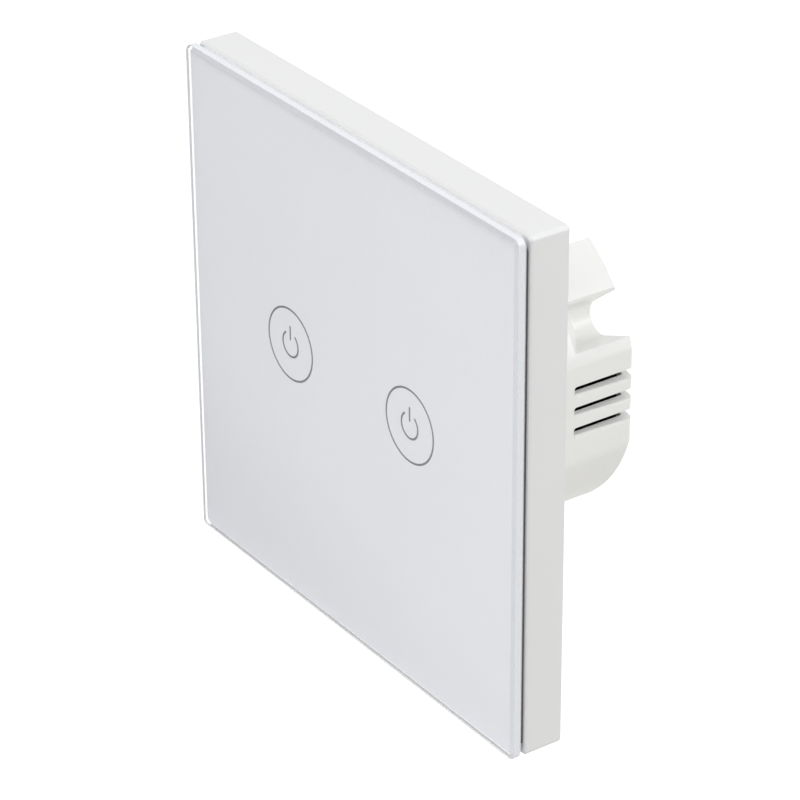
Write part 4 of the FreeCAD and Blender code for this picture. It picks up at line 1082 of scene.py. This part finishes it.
class SwitchTerminals(bpy.types.Operator):
    """Finishes the terminal block, its clamps, screws and contacts."""

    bl_idname = "wall_switch.terminals"
    bl_label = "Terminals"

    def execute(self, context):
        settings = context.scene.switch_plastic
        block = softened_copy("terminal_block", "terminal_moulding", BLOCK_ROUNDING, 2)
        fit(block, "base", "terminal_plastic",
            moulded_plastic("terminal_plastic", settings.terminal_colour, 0.38, 0.1 * MM), "terminal_block")
        zinc = plated_metal("terminal_zinc", (0.66, 0.66, 0.68), 0.26)
        steel = plated_metal("terminal_steel", (0.72, 0.72, 0.74), 0.24)
        for pole in POLES:
            finish_nodes(zinc, "terminal_metal", f"terminal_clamp_{pole}")
            screw = softened_copy(f"terminal_screw_{pole}", f"steel_screw_{pole}", SCREW_ROUNDING)
            fit(screw, f"clamp_screw_{pole}", "screw_steel", steel, f"terminal_screw_{pole}")
        tinned = plated_metal("tinned_contact", (0.78, 0.7, 0.52), 0.3)
        finish_nodes(tinned, "contact_metal", "terminal_contacts")
        return {"FINISHED"}


# The relays and the power supply

# Name, colour, roughness, size and depth of the grain in mm, slot and node of each part of the supply
SUPPLY_FINISHES = (
    ("ferrite", (0.05, 0.05, 0.055), 0.6, 0.2, 0.02, "ferrite", "transformer_core"),
    ("winding_tape", (0.75, 0.55, 0.05), 0.3, 0.14, 0.004, "winding_tape", "transformer_coil"),
    ("capacitor_sleeve", (0.03, 0.03, 0.035), 0.25, 0.14, 0.004, "capacitor_sleeve", "mains_capacitor"),
    ("varistor_coat", (0.04, 0.12, 0.42), 0.3, 0.4, 0.02, "varistor_coat", "varistor"),
    ("film_box", (0.7, 0.48, 0.08), 0.35, 0.14, 0.004, "film_box", "film_capacitor"),
    ("fuse_coat", (0.35, 0.5, 0.4), 0.5, 0.3, 0.02, "fuse_coat", "fuse_resistor"),
    ("rectifier_black", (0.02, 0.02, 0.022), 0.5, 0.14, 0.004, "chip_black", "rectifier"),
)


class SwitchPowerParts(bpy.types.Operator):
    """Finishes the relays and the parts of the power supply."""

    bl_idname = "wall_switch.power_parts"
    bl_label = "Relays and supply"

    def execute(self, context):
        cover = moulded_plastic("relay_cover", (0.03, 0.035, 0.05), 0.3, 0.1 * MM)
        iron = plated_metal("relay_iron", (0.55, 0.55, 0.57), 0.34)
        copper = plated_metal("coil_copper", (0.62, 0.25, 0.12), 0.35, (0.1, 3.0, 0.1))
        contact = plated_metal("relay_contact", (0.78, 0.68, 0.48), 0.3)
        for side, _ in SIDES:
            finish_nodes(cover, "relay_case", f"relay_cover_{side}", f"relay_base_{side}")
            finish_nodes(iron, "relay_iron", f"relay_yoke_{side}", f"relay_armature_{side}")
            finish_nodes(copper, "coil_copper", f"relay_coil_{side}")
            finish_nodes(contact, "contact_metal", f"relay_contact_{side}")
        for name, colour, roughness, grain, depth, slot, node in SUPPLY_FINISHES:
            plastic = moulded_plastic(name, colour, roughness, grain * MM, depth * MM)
            finish_nodes(plastic, slot, node)
        return {"FINISHED"}


# The stage

def place_camera(settings):
    """The camera, at the photograph's viewing angle."""
    aim = Vector((0.0, GLASS_FRONT + 0.1 * MM, 0.0))
    turn = Matrix.Rotation(settings.azimuth, 3, "Z")
    turn @= Matrix.Rotation(math.pi / 2 - settings.elevation, 3, "X")
    turn @= Matrix.Rotation(settings.roll, 3, "Z")
    aside = 8.31 * MM
    above = -0.62 * MM
    bpy.ops.object.camera_add(location=aim + turn @ Vector((aside, above, settings.distance)))
    camera = bpy.context.active_object
    camera.name = "studio_camera"
    camera.rotation_euler = turn.to_euler()
    camera.data.lens = settings.lens
    camera.data.sensor_width = 36.0
    camera.data.clip_start = 10 * MM
    camera.data.clip_end = 20.0
    bpy.context.scene.camera = camera


def seen_directly(nodes, links):
    """1 for rays from the camera, and for those that gloss or glass sends on, and otherwise 0."""
    path = nodes.new("ShaderNodeLightPath")
    total = path.outputs["Is Camera Ray"]
    for kind in ("Is Glossy Ray", "Is Transmission Ray"):
        either = nodes.new("ShaderNodeMath")
        either.operation = "MAXIMUM"
        links.new(total, either.inputs[0])
        links.new(path.outputs[kind], either.inputs[1])
        total = either.outputs["Value"]
    return total


def light_world(sky):
    """Even light from all round, which is plain white where it is seen."""
    world = bpy.data.worlds.new("studio")
    world.use_nodes = True
    nodes = world.node_tree.nodes
    links = world.node_tree.links
    strength = nodes.new("ShaderNodeMapRange")
    strength.inputs["To Min"].default_value = sky
    strength.inputs["To Max"].default_value = 1.0
    links.new(seen_directly(nodes, links), strength.inputs["Value"])
    backdrop = nodes["Background"]
    backdrop.inputs["Color"].default_value = (1.0, 1.0, 1.0, 1.0)
    links.new(strength.outputs["Result"], backdrop.inputs["Strength"])
    bpy.context.scene.world = world


def lay_floor():
    """A pale floor well below the switch, lifted to white where it is seen."""
    bpy.ops.mesh.primitive_plane_add(size=FLOOR_SIZE, location=(0.0, 0.0, FLOOR_LEVEL))
    floor = settle(name_new("studio_floor"))
    pale = Finish("pale_floor", 0.9)
    pale.set("Base Color", (0.48, 0.475, 0.45, 1.0))
    pale.set("Emission Color", (1.0, 1.0, 1.0, 1.0))
    lift = pale.maths("MULTIPLY", seen_directly(pale.nodes, pale.links), 0.72)
    pale.join(lift, "Emission Strength")
    floor.data.materials.append(pale.material)


def hang_lamp(name, place, size, power):
    """A soft square lamp that points at the switch."""
    bpy.ops.object.light_add(type="AREA", location=place)
    lamp = bpy.context.active_object
    lamp.name = name
    lamp.rotation_euler = Vector(place).to_track_quat("Z", "Y").to_euler()
    lamp.data.size = size
    lamp.data.energy = power
    lamp.visible_camera = False


def stand_card():
    """A card that only shows as a soft brightening in the glass, stronger to the right."""
    bpy.ops.mesh.primitive_plane_add(
        size=1.0, location=(-0.56, -0.4, -0.33), rotation=UP_IS_OUT, scale=(0.4, 0.4, 1.0))
    card = settle(name_new("studio_card"))
    card.visible_camera = False
    card.visible_diffuse = False
    card.visible_transmission = False
    card.visible_shadow = False
    glow = Finish("card_glow")
    split = glow.nodes.new("ShaderNodeSeparateXYZ")
    glow.links.new(glow.here, split.inputs[0])
    across, _, up = split.outputs
    rise = glow.spread(across, 0.0, 0.85, -0.68, -0.45)
    slanted = glow.maths("ADD", up, glow.maths("MULTIPLY", across, 0.3))
    low = glow.spread(slanted, -0.35, 0.0, -0.66, -0.6)
    fade = glow.spread(across, 1.0, 0.0, -0.44, -0.38)
    extra = glow.maths("MULTIPLY", glow.maths("ADD", rise, low), fade)
    glow.set("Base Color", (0.0, 0.0, 0.0, 1.0))
    glow.set("Emission Color", (1.0, 1.0, 1.0, 1.0))
    glow.join(glow.maths("ADD", extra, 1.0), "Emission Strength")
    card.data.materials.append(glow.material)


class SwitchStage(bpy.types.Operator):
    """Sets up the camera, the pale floor and the soft studio light."""

    bl_idname = "wall_switch.stage"
    bl_label = "Stage"

    def execute(self, context):
        settings = context.scene.switch_stage
        place_camera(settings)
        light_world(settings.sky)
        lay_floor()
        for lamp in LAMPS:
            hang_lamp(*lamp)
        stand_card()
        context.scene.view_settings.view_transform = "Standard"
        return {"FINISHED"}


class SwitchPanel(bpy.types.Panel):
    """Lists the switch's settings and the steps that make it."""

    bl_idname = "VIEW3D_PT_wall_switch"
    bl_label = "Wall switch"
    bl_space_type = "VIEW_3D"
    bl_region_type = "UI"
    bl_category = "Wall switch"

    def draw(self, context):
        for name in SETTINGS:
            group = getattr(context.scene, name)
            box = self.layout.box()
            for row in group.bl_rna.properties:
                if not row.is_readonly and row.identifier != "name":
                    box.prop(group, row.identifier)
        for step in STEPS:
            self.layout.operator(step.bl_idname)


SETTINGS = {
    "switch_print": SwitchPrintSettings,
    "switch_plastic": SwitchPlasticSettings,
    "switch_screws": SwitchScrewSettings,
    "switch_springs": SwitchSpringSettings,
    "switch_boards": SwitchBoardSettings,
    "switch_stage": SwitchStageSettings,
}
STEPS = (
    SwitchStage, SwitchGlassFront, SwitchMouldings, SwitchCarrierScrews, SwitchTouchBoard,
    SwitchTouchSprings, SwitchTerminals, SwitchPowerParts,
)


def register():
    for group in (*SETTINGS.values(), *STEPS, SwitchPanel):
        bpy.utils.register_class(group)
    for name, group in SETTINGS.items():
        setattr(bpy.types.Scene, name, bpy.props.PointerProperty(type=group))


def unregister():
    for name in SETTINGS:
        delattr(bpy.types.Scene, name)
    for group in reversed((*SETTINGS.values(), *STEPS, SwitchPanel)):
        bpy.utils.unregister_class(group)


def main():
    register()
    bpy.ops.wall_switch.stage()
    bpy.ops.wall_switch.glass_front()
    bpy.ops.wall_switch.mouldings()
    bpy.ops.wall_switch.carrier_screws()
    bpy.ops.wall_switch.touch_board()
    bpy.ops.wall_switch.touch_springs()
    bpy.ops.wall_switch.terminals()
    bpy.ops.wall_switch.power_parts()


if __name__ == "__main__":
    main()
